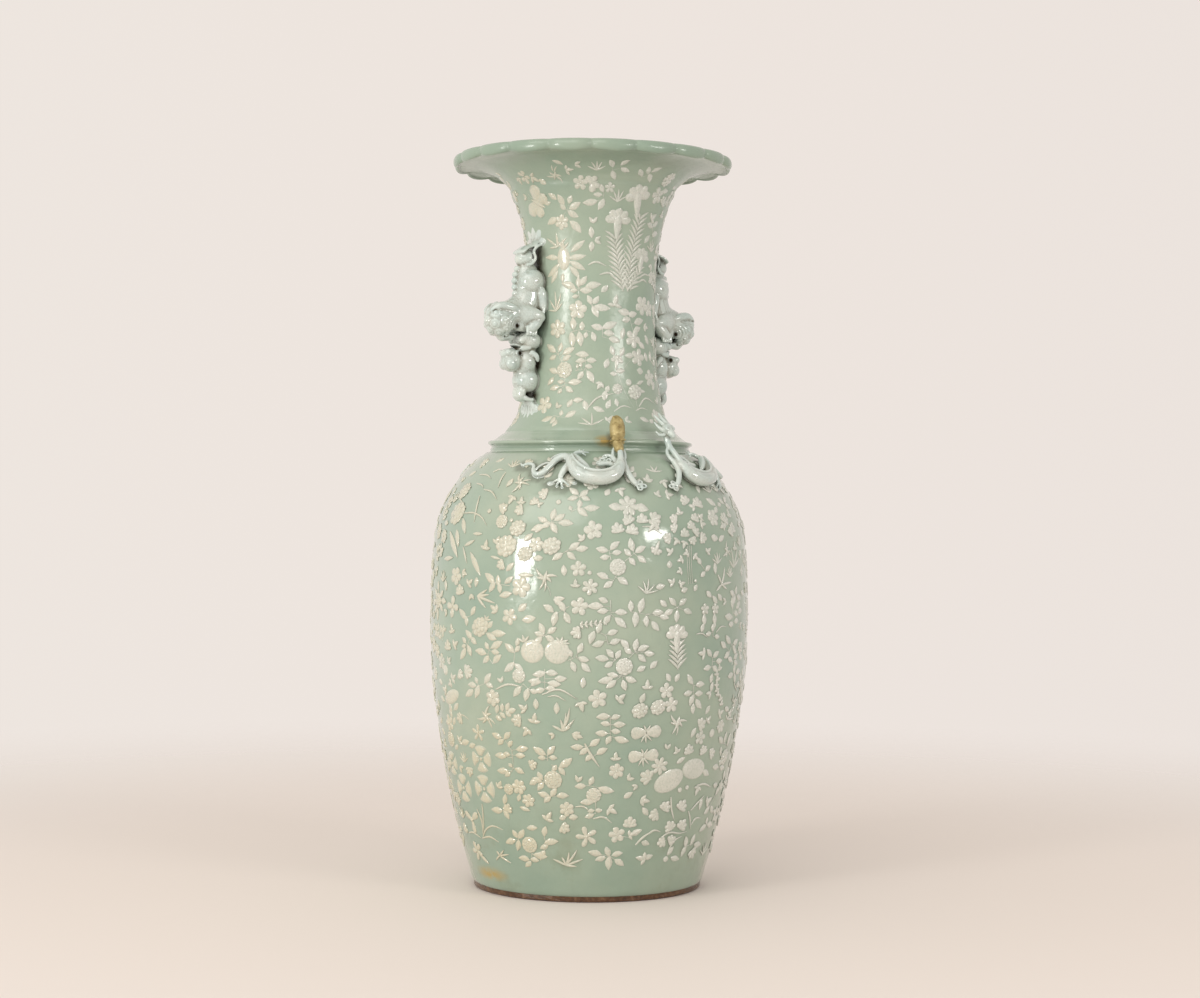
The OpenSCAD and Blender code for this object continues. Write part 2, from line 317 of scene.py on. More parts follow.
def make_gilt():
    mat, tree, shader = new_material("gilt")
    worn = noise(tree, 190, 5, 0.65)
    colour = ramp(tree, worn, [
        (0.30, (0.21, 0.15, 0.055)), (0.50, (0.40, 0.32, 0.135)), (0.72, (0.52, 0.44, 0.23))
    ])
    rough = ramp(tree, worn, [(0.3, (0.55,) * 3), (0.7, (0.33,) * 3)])
    put(shader, {"Base Color": colour, "Metallic": 0.35, "Roughness": rough})
    bump(tree, shader, [
        (noise(tree, 520, 4, 0.6), 0.0006, 0.6), (worn, 0.0006, 0.5)
    ])
    return mat


CELADON = make_celadon("celadon_glaze", 0.15, 0.6, 1.0)
NECK_CELADON = make_celadon("celadon_glaze_neck", 0.27, 0.22, 2.0)
FIGURE = make_figure_glaze()
WHITE_SLIP = make_slip()
BASE_GLAZE = make_base_glaze()
BISCUIT = make_biscuit()
GILT = make_gilt()

# ---------------------------------------------------------------- meshes


def piece(name, points, faces, material, node_names=(), smooth_angle=None, marks=None):
    """Makes a mesh object from points in millimetres and rides it on the vase.

    marks are values for each point, which the materials read by name; edges sharper than
    smooth_angle degrees stay sharp.
    """
    mesh = bpy.data.meshes.new(name)
    points = np.asarray(points, float) * MM
    faces = np.asarray(faces, int)
    width = faces.shape[1]
    mesh.vertices.add(len(points))
    mesh.vertices.foreach_set("co", points.ravel())
    mesh.loops.add(faces.size)
    mesh.loops.foreach_set("vertex_index", faces.ravel())
    mesh.polygons.add(len(faces))
    mesh.polygons.foreach_set("loop_start", np.arange(len(faces)) * width)
    mesh.polygons.foreach_set("loop_total", np.full(len(faces), width))
    mesh.update(calc_edges=True)
    mesh.validate()
    mesh.polygons.foreach_set("use_smooth", np.ones(len(mesh.polygons), bool))
    for key, values in (marks or {}).items():
        attribute = mesh.attributes.new(key, "FLOAT", "POINT")
        attribute.data.foreach_set("value", np.asarray(values, np.float32))
    if smooth_angle:
        mesh.set_sharp_from_angle(angle=math.radians(smooth_angle))
    mesh.materials.append(material)
    obj = add_object(name, mesh)
    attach(obj, "root")
    if node_names:
        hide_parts(*node_names)


def lathe(outline, segments, radial=None):
    """Turns a closed outline of (r, z) round Z. radial(r, z, angles) may change the radii."""
    outline = np.asarray(outline, float)
    n = len(outline)
    a = np.linspace(0, TAU, segments, endpoint=False)
    r = np.repeat(outline[:, :1], segments, 1)
    z = np.repeat(outline[:, 1:], segments, 1)
    if radial:
        r, z = radial(r, z, a[None, :])
    points = np.stack([r * np.cos(a), r * np.sin(a), z], -1).reshape(-1, 3)
    i = np.repeat(np.arange(n), segments)
    j = np.tile(np.arange(segments), n)
    i2, j2 = (i + 1) % n, (j + 1) % segments
    faces = np.stack([i * segments + j, i * segments + j2, i2 * segments + j2, i2 * segments + j], 1)
    return points, faces


def outer_radius(nodes):
    """Outer radius of turned CAD nodes as a function of height, smoothed across their facets."""
    pairs = []
    for name in nodes:
        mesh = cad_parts[name].data
        co = np.array([v.co for v in mesh.vertices]) / MM
        seam = (np.abs(co[:, 1]) < 1e-3) & (co[:, 0] > 0)
        edges = np.array([e.vertices[:] for e in mesh.edges])
        edges = edges[seam[edges].all(1)]
        pairs.append(co[edges][:, :, [0, 2]])
    pairs = np.concatenate(pairs)
    low, high = pairs[..., 1].min(), pairs[..., 1].max()
    heights = np.arange(low, high + 0.5, 1.0).clip(low, high)
    z0, z1 = pairs[:, 0, 1], pairs[:, 1, 1]
    flat = np.abs(z1 - z0) < 1e-6
    radii = []
    for z in heights.clip(low + 0.01, high - 0.01):
        t = (z - z0) / np.where(flat, 1, z1 - z0)
        hit = ~flat & (t >= 0) & (t <= 1)
        radii.append((pairs[:, 0, 0] + t * (pairs[:, 1, 0] - pairs[:, 0, 0]))[hit].max())
    radii = np.array(radii)
    reach = 5
    kernel = np.hanning(2 * reach + 3)[1:-1]
    kernel /= kernel.sum()
    padded = np.concatenate([
        2 * radii[0] - radii[reach:0:-1], radii, 2 * radii[-1] - radii[-2:-reach - 2:-1]
    ])
    smooth = np.convolve(padded, kernel, "valid")
    return lambda z: np.interp(z, heights, smooth)


body_r = outer_radius(["lower_body", "upper_body"])
neck_r = outer_radius(["neck"])


def curve(points, n):
    """n points evenly along a smooth curve through the points given."""
    P = np.asarray(points, float)
    ends = np.concatenate([[2 * P[0] - P[1]], P, [2 * P[-1] - P[-2]]])
    out = []
    for p0, p1, p2, p3 in zip(ends, ends[1:], ends[2:], ends[3:]):
        t = np.linspace(0, 1, 24, endpoint=False)[:, None]
        out.append(0.5 * (2 * p1 + (p2 - p0) * t + (2 * p0 - 5 * p1 + 4 * p2 - p3) * t ** 2
                          + (3 * p1 - p0 - 3 * p2 + p3) * t ** 3))
    dense = np.concatenate([*out, P[-1:]])
    along = np.concatenate([[0], np.cumsum(np.linalg.norm(np.diff(dense, axis=0), axis=1))])
    where = np.linspace(0, along[-1], n)
    return np.stack([np.interp(where, along, dense[:, k]) for k in range(dense.shape[1])], 1)


# The underside of the mouth, from the neck's top out to the lip: (share of the flare, height)
FLARE = [(0, 0), (0.06, 3.9), (0.13, 7), (0.3, 13.5), (0.55, 18), (0.79, 19.5), (0.905, 19),
         (0.935, 18)]
seam_r = float(neck_r(MOUTH_SEAM))
flare = MOUTH_R - seam_r
under_mouth = curve([(seam_r + s * flare, MOUTH_SEAM + h) for s, h in FLARE], 60)
# The top of the mouth, as (r, z), from the flat inwards to where it turns down into the neck
FUNNEL = [(seam_r + s * flare, HEIGHT - drop) for s, drop in ((0.55, 1.9), (0.3, 5.4), (0.14, 10.8))]


class Skin:
    """An outer surface of the vase that slip is laid on: a meridian line of (r, z)."""

    def __init__(self, line):
        self.line = np.asarray(line, float)
        step = np.diff(self.line, axis=0)
        self.along = np.concatenate([[0], np.cumsum(np.hypot(*step.T))])
        slope = np.gradient(self.line, self.along, axis=0)
        self.out = np.stack([slope[:, 1], -slope[:, 0]], 1)
        self.out /= np.linalg.norm(self.out, axis=1)[:, None]

    def at_height(self, z):
        rising = np.maximum.accumulate(self.line[:, 1] + np.arange(len(self.line)) * 1e-9)
        return np.interp(z, rising, self.along)

    def at_radius(self, r):
        order = np.argsort(self.line[:, 0])
        return np.interp(r, self.line[order, 0], self.along[order])

    def points(self, angle, along, lift):
        """Points at angles in radians from the front, lengths along the meridian and heights off it."""
        r = np.interp(along, self.along, self.line[:, 0])
        z = np.interp(along, self.along, self.line[:, 1])
        nr = np.interp(along, self.along, self.out[:, 0])
        nz = np.interp(along, self.along, self.out[:, 1])
        r, z = r + nr * lift, z + nz * lift
        return np.stack([r * np.sin(angle), -r * np.cos(angle), z], -1)

    def radius(self, along):
        return np.interp(along, self.along, self.line[:, 0])


body_z = np.linspace(FOOT_TOP, SHOULDER_TOP, 160)
body_line = np.stack([body_r(body_z), body_z], 1)
neck_z = np.linspace(RIDGE_TOP, MOUTH_SEAM, 110)
neck_line = np.stack([neck_r(neck_z), neck_z], 1)
body_skin = Skin(body_line)
neck_skin = Skin(np.concatenate([neck_line, under_mouth[1:]]))


def hand_thrown(r, z, a):
    """The slight unevenness of a big thrown pot: under half a millimetre."""
    wave = (0.22 * np.sin(2 * a + z / 90) + 0.16 * np.sin(3 * a - z / 55 + 1)
            + 0.10 * np.sin(7 * a + z / 30) + 0.10 * np.sin(z / 6.5 + 2 * np.sin(a)))
    return r - 0.35 + 0.6 * wave


def make_shell():
    # body: outside, rounded foot edge, inside wall and the flat under the collar
    inner_z = np.linspace(SHOULDER_TOP - 2 * WALL, BASE_TOP, 60)
    inner = np.stack([body_r(inner_z) - WALL, inner_z], 1)
    foot = body_line[0, 0]
    foot_edge = curve([(BASE_R + 0.2, FOOT_TOP + 0.4), (foot - 2.4, FOOT_TOP - 0.4),
                       (foot - 0.8, FOOT_TOP + 0.1), body_line[1]], 8)
    loop = np.concatenate([
        foot_edge[:-1], body_line[1:],
        [(COLLAR_IN_R, SHOULDER_TOP), (COLLAR_IN_R, SHOULDER_TOP - WALL)], inner,
        [(BASE_R + 0.2, BASE_TOP)],
    ])
    inside = np.arange(len(loop)) >= len(foot_edge) + len(body_line) - 2

    def uneven(r, z, a):
        moved = hand_thrown(r, z, a)
        fade = np.clip((SHOULDER_TOP - z) / 20, 0, 1) * np.clip((z - FOOT_TOP) / 15, 0, 1)
        fade = fade * ~inside[:, None]
        return r + (moved - r) * fade, z

    points, faces = lathe(loop, 400, uneven)
    # painted shade just under the collar and where the dragons touch the body, with some dirt there; the
    # smear is a real stain
    piece("body_shell", points, faces, CELADON, ["lower_body", "upper_body"], 40,
          {"pooled_glaze_and_shade": body_under_collar_shade(points), "smear": 0.9 * patch(points, -84, 17, 14, 6.5),
           "painted_shade_and_stain": 0.5 * halo(points, 4) ** 1.5})


def halo(points, reach):
    """1 where a figure touches the surface, 0 from reach millimetres away on.

    The touching points are marked on an unrolled map of the vase and spread cell by cell.
    """
    figures = np.concatenate(figure_points)
    r = np.hypot(*figures[:, :2].T)
    z = figures[:, 2]
    skin = np.maximum(np.where(z < SHOULDER_TOP, body_r(z), neck_r(z)),
                      (RIDGE_R - 1) * (z > SHOULDER_TOP) * (z < RIDGE_TOP - 5))
    touching = figures[r - skin < 2.2]
    rows, columns = int(HEIGHT) + 1, 480

    def cell(p):
        return (np.round(p[:, 2]).astype(int).clip(0, rows - 1),
                (np.arctan2(p[:, 1], p[:, 0]) / TAU * columns).astype(int) % columns)

    covered = np.zeros((rows, columns), bool)
    covered[cell(touching)] = True
    value = covered.astype(float)
    for step in range(1, reach):
        covered = (covered | np.roll(covered, 1, 0) | np.roll(covered, -1, 0)
                   | np.roll(covered, 1, 1) | np.roll(covered, -1, 1))
        value = np.maximum(value, covered * (1 - step / reach))
    return value[cell(points)]


def patch(points, angle, z, half_angle, half_height):
    """1 in the middle of a patch of the surface, 0 at its edge."""
    phi = np.degrees(np.arctan2(points[:, 0], -points[:, 1]))
    across = ((phi - angle + 180) % 360 - 180) / half_angle
    return np.clip(1.3 * (1 - np.hypot(across, (points[:, 2] - z) / half_height)), 0, 1)


def body_under_collar_shade(points):
    """Painted shade under the collar above, where the glaze also runs thick."""
    return np.clip(1 - (SHOULDER_TOP - points[:, 2]) / 7, 0, 1) ** 2 * 0.5


def make_collar():
    r = RIDGE_R
    z = SHOULDER_TOP
    top = float(neck_r(RIDGE_TOP))
    outline = np.concatenate([
        curve([(r - 0.6, z - 0.8), (r - 1.9, z + 1.0), (r - 2.0, z + 2.4), (r - 3.0, z + 4.4),
               (r - 1.9, z + 5.6), (r - 0.4, z + 6.5), (r, z + 7.6), (r - 0.5, z + 8.9),
               (r - 2.2, z + 9.4), (r - 4.0, z + 9.7), (r - 6.6, z + 11.2), (r - 9.4, z + 13.4),
               (top + 1.6, RIDGE_TOP - 1.5), (top - 0.2, RIDGE_TOP), (top - 1.6, RIDGE_TOP + 0.9)], 70),
        [(top - 6, RIDGE_TOP), (top - 6, z - 0.8)],
    ])

    def uneven(rr, zz, a):
        proud = 0.25 * (rr > top + 2)
        return rr + proud * np.sin(5 * a + 1), zz + proud * np.sin(3 * a)

    points, faces = lathe(outline, 400, uneven)
    # painted shade in the groove under the ridge's lip, where the glaze also pools
    under = np.clip(1 - np.abs(points[:, 2] - (z + 3.2)) / 2.6, 0, 1)
    under *= np.hypot(*points[:, :2].T) > r - 5
    # glue and dirt run down beside the gilt head
    smear = np.maximum(patch(points, -24, z + 8.5, 7, 5.5), patch(points, -20, z + 8, 3.5, 7))
    # painted shade where the figures touch the collar, and beside the gilt head painted shade with a brown
    # stain
    painted_shade_and_stain = np.maximum(0.6 * halo(points, 4) ** 1.2, 0.75 * patch(points, -20.4, z + 9, 3.0, 8))
    piece("collar", points, faces, CELADON, ["shoulder_ridge"], 50,
          {"pooled_glaze_and_shade": under * 0.85, "smear": smear, "painted_shade_and_stain": painted_shade_and_stain})


def lobe(a):
    """0 in the middle of a lobe of the lip, 1 at the cusp between two."""
    f = (np.degrees(a) - LOBE_TURN) * LOBES / 360
    return np.abs(2 * (f - np.floor(f)) - 1)


# Painted shadow on the neck in the gaps behind each handle: (height, half its angle, half its height)
NECK_GAPS = ((513, 19, 15), (496, 19, 13), (461, 18.5, 8), (429, 17, 10), (401, 13, 6))


def make_neck():
    """The neck and the flared mouth in one: the lip turns down, with lobes and cusps round it."""
    r, top = MOUTH_R, HEIGHT
    outside = np.concatenate([under_mouth[1:-3:2], under_mouth[-3:-2]])
    lip = curve([outside[-1], *((r - back, top - down) for back, down in (
        (4.2, 8.6), (3.0, 9.4), (1.6, 9.0), (0.5, 7.6), (0, 5.4), (0.3, 3.2), (1.4, 1.3), (3.2, 0.3),
        (6, 0), (10, 0.6)))], 36)
    inside = curve([(r - 10, top - 0.6), *FUNNEL, (seam_r + 0.02 * flare, top - 18.5),
                    (seam_r - 6, MOUTH_SEAM)], 26)
    inner_z = np.linspace(MOUTH_SEAM - 6, RIDGE_TOP + 10, 24)
    inner = np.stack([neck_r(inner_z) - WALL + 1, inner_z], 1)
    low = SHOULDER_TOP - 6
    foot = [(58.6, RIDGE_TOP), (58.6, low), (61.4, low), (61.4, SHOULDER_TOP), (70, SHOULDER_TOP)]
    wall = np.concatenate([neck_line[:-1:2], neck_line[-1:]])
    loop = np.concatenate([wall, outside, lip[1:], inside[1:], inner, foot])
    count = len(wall)

    def shaped(rr, zz, a):
        moved = hand_thrown(rr, zz, a)
        fade = np.clip((zz - RIDGE_TOP) / 20, 0, 1) * np.clip((MOUTH_SEAM - zz) / 15, 0, 1)
        rr = rr + (moved - rr) * fade * 0.6 * (np.arange(len(loop)) < count)[:, None]
        edge = np.clip((rr - (r - 18)) / 18, 0, 1) ** 1.5
        c = lobe(a)
        hang = np.clip((rr - (r - 9)) / 7, 0, 1) * np.clip((top - 2 - zz) / 6, 0, 1)
        zz = zz + hang * (2.4 * c ** 2 - 0.8) + 0.5 * edge * np.sin(2 * a + 0.6)
        return rr - 3.0 * edge * c ** 3, np.minimum(zz, top)

    points, faces = lathe(loop, 540, shaped)
    rr = np.hypot(*points[:, :2].T)
    z = points[:, 2]
    # painted shade under the flare of the mouth; the lip band is darker, and everything higher than 555 mm
    # slightly so
    under = np.clip((rr - seam_r - 2) / 16, 0, 1) * (z < top - 8.2) * (z > MOUTH_SEAM)
    edge = np.clip((rr - (r - 6)) / 3, 0, 1)
    high = np.clip((z - 555) / 20, 0, 1)
    gaps = np.max([patch(points, angle, *gap) for gap in NECK_GAPS for angle in (-90, 90)], 0)
    # painted shadow behind the handles, only on the outside of the neck
    painted_shade_and_stain = np.clip(1.7 * gaps * halo(points, 10) ** 0.5, 0, 1) * (rr > neck_r(z) - 2)
    piece("neck_and_mouth", points, faces, NECK_CELADON, ["neck", "mouth_rim"], 62,
          {"pooled_glaze_and_shade": np.maximum(0.30 * under, 0.34 * edge) + 0.08 * high, "painted_shade_and_stain": painted_shade_and_stain})


# ---------------------------------------------------------------- foot and base: CAD nodes kept

for node_name, material in (("foot_ring", BISCUIT), ("base_disc", BASE_GLAZE)):
    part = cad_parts[node_name]
    part.data.materials.clear()
    part.data.materials.append(material)
    edge = part.modifiers.new("worn_edge", "BEVEL")
    edge.width = 0.5 * MM
    edge.segments = 3

# ---------------------------------------------------------------- modelled figures

FIGURE_THIN = 9          # every so many points of a figure are kept, to find where it touches the vase
figure_points = []


class Clay:
    """Clay modelled from balls, limbs and cuts, kept as distances on a grid, in millimetres."""

    def __init__(self, low, high, step):
        self.low, self.step = np.array(low, float), step
        self.shape = (np.ceil((np.array(high) - low) / step) + 1).astype(int)
        self.d = np.full(self.shape, 6.0)

    def axis(self, k):
        """The grid's coordinates along one axis."""
        return self.low[k] + self.step * np.arange(self.shape[k])

    def block(self, low, high):
        """The part of the grid in a box: its slices and its points."""
        i0 = np.clip(((low - self.low) / self.step).astype(int), 0, self.shape)
        i1 = np.clip(((high - self.low) / self.step).astype(int) + 2, 0, self.shape)
        part = tuple(slice(a, b) for a, b in zip(i0, i1))
        axes = [self.low[k] + self.step * np.arange(i0[k], i1[k]) for k in range(3)]
        return part, np.stack(np.meshgrid(*axes, indexing="ij"), -1)

    def blend(self, part, distance, k, cut):
        """Adds a shape, given by its distances, or cuts it out, over a fillet of about k."""
        old = self.d[part]
        if cut:
            h = np.clip(0.5 - 0.5 * (old + distance) / k, 0, 1)
            self.d[part] = old * (1 - h) - distance * h + k * h * (1 - h)
        else:
            h = np.clip(0.5 + 0.5 * (distance - old) / k, 0, 1)
            self.d[part] = distance * (1 - h) + old * h - k * h * (1 - h)

    def ball(self, centre, radii, k=1.2, cut=False, turn=0):
        """An ellipsoid; turn tips it in the plane of the first and third axes, in degrees."""
        centre = np.array(centre, float)
        radii = np.broadcast_to(np.array(radii, float), 3)
        reach = radii.max() + 3
        part, p = self.block(centre - reach, centre + reach)
        if p.size == 0:
            return
        q = p - centre
        if turn:
            c, s = math.cos(math.radians(turn)), math.sin(math.radians(turn))
            q = np.stack([c * q[..., 0] + s * q[..., 2], q[..., 1],
                          c * q[..., 2] - s * q[..., 0]], -1)
        k0 = np.linalg.norm(q / radii, axis=-1)
        k1 = np.linalg.norm(q / radii ** 2, axis=-1)
        self.blend(part, k0 * (k0 - 1) / np.maximum(k1, 1e-6), k, cut)

    def limb(self, stations, k=1.2, cut=False, widen=(1, 1, 1)):
        """A chain through stations of (x, y, z, radius), smoothed; widen stretches its section."""
        stations = np.array(stations, float)
        length = np.linalg.norm(np.diff(stations[:, :3], axis=0), axis=1).sum()
        smooth = curve(stations, max(3, int(length / 1.3))) if len(stations) > 2 else stations
        widen = np.array(widen, float)
        for a, b in zip(smooth, smooth[1:]):
            reach = max(a[3], b[3]) * widen.max() + 2.5
            low = np.minimum(a[:3], b[:3]) - reach
            part, p = self.block(low, np.maximum(a[:3], b[:3]) + reach)
            if p.size == 0:
                continue
            along = (b[:3] - a[:3]) / widen
            q = (p - a[:3]) / widen
            t = np.clip((q @ along) / max(along @ along, 1e-9), 0, 1)
            r = a[3] + t * (b[3] - a[3])
            self.blend(part, np.linalg.norm(q - t[..., None] * along, axis=-1) - r, k, cut)

    def ring(self, centre, axis, big, thick, k=0.6, cut=False):
        """A ring of a given radius round an axis."""
        centre, axis = np.array(centre, float), np.array(axis, float)
        axis /= np.linalg.norm(axis)
        reach = big + thick + 2
        part, p = self.block(centre - reach, centre + reach)
        if p.size == 0:
            return
        q = p - centre
        along = q @ axis
        away = np.linalg.norm(q - along[..., None] * axis, axis=-1)
        self.blend(part, np.hypot(away - big, along) - thick, k, cut)

    def hollows(self, reach):
        """How far each grid point lies in a crease: the distances averaged over a box."""
        total = np.clip(self.d, -3, 3)
        n = int(reach / self.step)
        for axis in range(3):
            padded = np.concatenate([np.repeat(np.take(total, [0], axis), n + 1, axis), total,
                                     np.repeat(np.take(total, [-1], axis), n, axis)], axis)
            summed = np.cumsum(padded, axis)
            high = np.take(summed, range(2 * n + 1, summed.shape[axis]), axis)
            low = np.take(summed, range(0, summed.shape[axis] - 2 * n - 1), axis)
            total = (high - low) / (2 * n + 1)
        return total

    def surface(self):
        """Points and four-sided faces of the clay's surface, with each point's depth in a crease."""
        d = self.d
        cells = np.array(d.shape) - 1
        where = np.zeros((cells.prod(), 3))
        count = np.zeros(cells.prod())
        rings = []
        for axis in range(3):
            lower = [slice(None)] * 3
            upper = [slice(None)] * 3
            lower[axis], upper[axis] = slice(0, -1), slice(1, None)
            da, db = d[tuple(lower)], d[tuple(upper)]
            edge = np.argwhere((da < 0) != (db < 0))
            ea, eb = da[tuple(edge.T)], db[tuple(edge.T)]
            point = edge.astype(float)
            point[:, axis] += ea / (ea - eb)
            others = [k for k in range(3) if k != axis]
            corners, usable = [], np.ones(len(edge), bool)
            for o in ((0, 0), (1, 0), (1, 1), (0, 1)):
                cell = edge.copy()
                cell[:, others[0]] -= o[0]
                cell[:, others[1]] -= o[1]
                ok = ((cell >= 0) & (cell < cells)).all(1)
                flat = np.ravel_multi_index(np.clip(cell, 0, cells - 1).T, cells)
                count += np.bincount(flat[ok], minlength=len(count))
                for k in range(3):
                    where[:, k] += np.bincount(flat[ok], point[ok, k], len(count))
                corners.append(flat)
                usable &= ok
            quad = np.stack(corners, 1)
            flip = (ea > 0) != (axis == 1)
            quad[flip] = quad[flip][:, ::-1]
            rings.append(quad[usable])
        quads = np.concatenate(rings)
        used, faces = np.unique(quads, return_inverse=True)
        grid = where[used] / count[used][:, None]
        crease = self.hollows(2.4)
        nearest = tuple(np.clip(np.round(grid).astype(int), 0, np.array(d.shape) - 1).T)
        return self.low + grid * self.step, faces.reshape(quads.shape), crease[nearest]


def pair_ball(clay, place, radii, k):
    """The same ball on each side of the figure's own middle plane."""
    u, v, z = place
    for side in (1, -1):
        clay.ball((u, v * side, z), radii, k)


def pair_limb(clay, stations, k=1.2):
    for side in (1, -1):
        clay.limb([(u, v * side, z, r) for u, v, z, r in stations], k)


def glaze_fillet(clay, ground, film, spread, reach, over, sunk):
    """Glaze gathers where a figure touches the vase.

    ground is each grid point's height over the glaze, whose film runs out beyond spread and meets
    the figure over a fillet of reach; the clay ends sunk below the surface that over is measured from.
    """
    skin = ground + film + np.maximum(clay.d - spread, 0) * 0.9
    h = np.clip(0.5 + 0.5 * (skin - clay.d) / reach, 0, 1)
    blended = skin * (1 - h) + clay.d * h - reach * h * (1 - h)
    clay.d = np.maximum(blended, -(over + sunk))


HEAD_MIDDLE, HEAD_RADII = np.array((34.6, 0, 462.4)), np.array((12.2, 12.4, 13.6))


def on_head(u, z):
    """How far out to the side the lion's skull reaches at this place."""
    share = 1 - sum(((np.array((u, z)) - HEAD_MIDDLE[::2]) / HEAD_RADII[::2]) ** 2)
    return HEAD_RADII[1] * math.sqrt(max(share, 0.05))


def model_lion():
    """The lion climbing down the handle: (out from the neck's waist, towards the front, height)."""
    clay = Clay((-4, -21, 443), (56, 21, 546), 0.55)
    clay.limb([(10.4, 0, 504, 7.6), (9.0, 0, 494, 10.6), (9.0, 0, 484, 11.2), (11.5, 0, 474, 11.4)], 2.0)
    pair_ball(clay, (8.4, 4.8, 494), (11.0, 10.2, 11.4), 0.7)
    pair_limb(clay, [(3.0, 11.6, 487, 3.0), (1.8, 12.0, 480, 2.6), (1.0, 11.8, 472, 2.3)], 2.2)
    for toe in (-2.2, 0, 2.2):
        pair_limb(clay, [(1.6, 12.0 + toe, 473, 1.5), (2.4, 12.0 + toe * 1.2, 469.0, 1.3)], 0.5)
    for z, u in ((504.5, 19.2), (499.8, 20.8), (494.8, 21.4), (489.6, 21.2), (484.4, 20.8), (479.4, 22.4)):
        clay.ball((u, 0, z), (2.4, 3.2, 2.6), 0.7)
    # shoulder, elbow and the paw that holds the cub
    pair_ball(clay, (13.4, 7.4, 466.6), (9.8, 8.2, 9.4), 1.2)
    pair_limb(clay, [(12, 10.4, 467, 6.2), (7, 12.2, 466, 4.8), (3.2, 13.2, 464.6, 2.8)], 1.6)
    pair_limb(clay, [(4.4, 12.8, 464.2, 3.0), (8.8, 12.8, 459.6, 4.2), (12.8, 12.8, 455.6, 3.9)], 1.1)
    for toe in (-3.6, -1.2, 1.2, 3.6):
        pair_limb(clay, [(12.6 + toe * 0.9, 13.4, 456.4, 1.9), (13.4 + toe, 14.4, 451.0, 1.4)], 0.4)
    # neck, skull, cheeks and muzzle
    clay.limb([(16, 0, 472, 11), (26, 0, 467, 12)], 3)
    clay.ball(HEAD_MIDDLE, HEAD_RADII, 2.5)
    clay.limb([(32, 0, 450.5, 5.5), (25, 0, 449.4, 3.6)], 1.6)
    for side in (1, -1):
        clay.ball((17.8, 5.0 * side, 459.0), (8.2, 6.6, 6.8), 1.8)
    clay.ball((19.5, 0, 452.0), (8.6, 14, 1.5), 0.5, True, 8)
    clay.ball((27.5, 0, 453.2), (4.0, 14, 1.2), 0.5, True, 30)
    for side in (1, -1):
        for size, thick in ((3.9, 0.9), (6.4, 1.0), (8.9, 1.0)):
            arc = []
            for turn in range(-60, 111, 17):
                u = 25.6 + size * math.cos(math.radians(turn))
                z = 457.8 + size * math.sin(math.radians(turn))
                arc.append((u, side * (on_head(u, z) - 0.1), z, thick))
            clay.limb(arc, 0.6)
        clay.ball((25.2, 9.0 * side, 457.6), (2.9, 2.4, 2.9), 0.6)
        clay.ball((24.6, 11.6 * side, 457.4), (1.5, 2.1, 1.9), 0.2, True)
        clay.limb([(23, 8.6 * side, 469.5, 2.6), (30, 8.8 * side, 472.0, 3.2),
                   (38, 7.4 * side, 473.0, 3.1), (44.2, 5.6 * side, 469.4, 2.2)], 1.1)
    # the mane: low buns of hair, each with a groove wound round it
    for around, up, size in ((0, 72, 5.6), (0, 34, 5.8), (0, -4, 5.6), (0, -42, 5.4), (44, 20, 5.8),
                             (40, -18, 5.8), (82, -6, 4.6), (56, -52, 5.0), (94, -36, 4.2), (120, -62, 4.0)):
        for side in ((1, -1) if around else (1,)):
            a, e = math.radians(around * side), math.radians(up)
            away = np.array((math.cos(e) * math.cos(a), math.cos(e) * math.sin(a), math.sin(e)))
            crown = HEAD_MIDDLE + away * (HEAD_RADII + 1.7)
            clay.ball(crown - away * size, size, 0.5)
            clay.ring(crown - away * 0.5, away, size * 0.44, 0.62, 0.4, True)
    # tail: rolled into a cup that opens towards the neck, on a leafy root
    clay.ball((11.4, 0, 513.4), (9.0, 8.8, 7.4), 0.8, False, -12)
    clay.ball((2.4, 0, 514.6), (9.6, 12.5, 6.9), 0.5, True, -6)
    for v in (-1, 1):
        clay.limb([(13.4, 7.4 * v, 507.6, 1.3), (9.4, 8.6 * v, 509.2, 1.1), (7.0, 9.0 * v, 513.6, 1.1),
                   (8.4, 8.6 * v, 518.6, 1.1), (6.0, 9.4 * v, 522.4, 1.0), (1.0, 10.6 * v, 525.6, 1.0)], 0.6)
    clay.limb([(17.6, 0, 518.0, 2.0), (12.6, 0, 521.8, 1.8), (6.4, 0, 524.2, 1.7), (1.4, 0, 529, 1.8)],
              0.8, False, (1, 4.6, 1))
    for v, z in ((-10.4, 527), (-7.6, 535.6), (0, 541.5), (7.6, 535.6), (10.4, 527)):
        clay.limb([(2.0, v * 0.35, 527, 2.6), (1.6 - abs(v) * 0.08, v, z, 2.4)], 0.6, False, (1, 1.4, 1))
        clay.limb([(4.2, v * 0.3, 527, 0.9), (3.4 - abs(v) * 0.09, v * 0.94, z - 1, 0.7)], 0.4)
    return clay


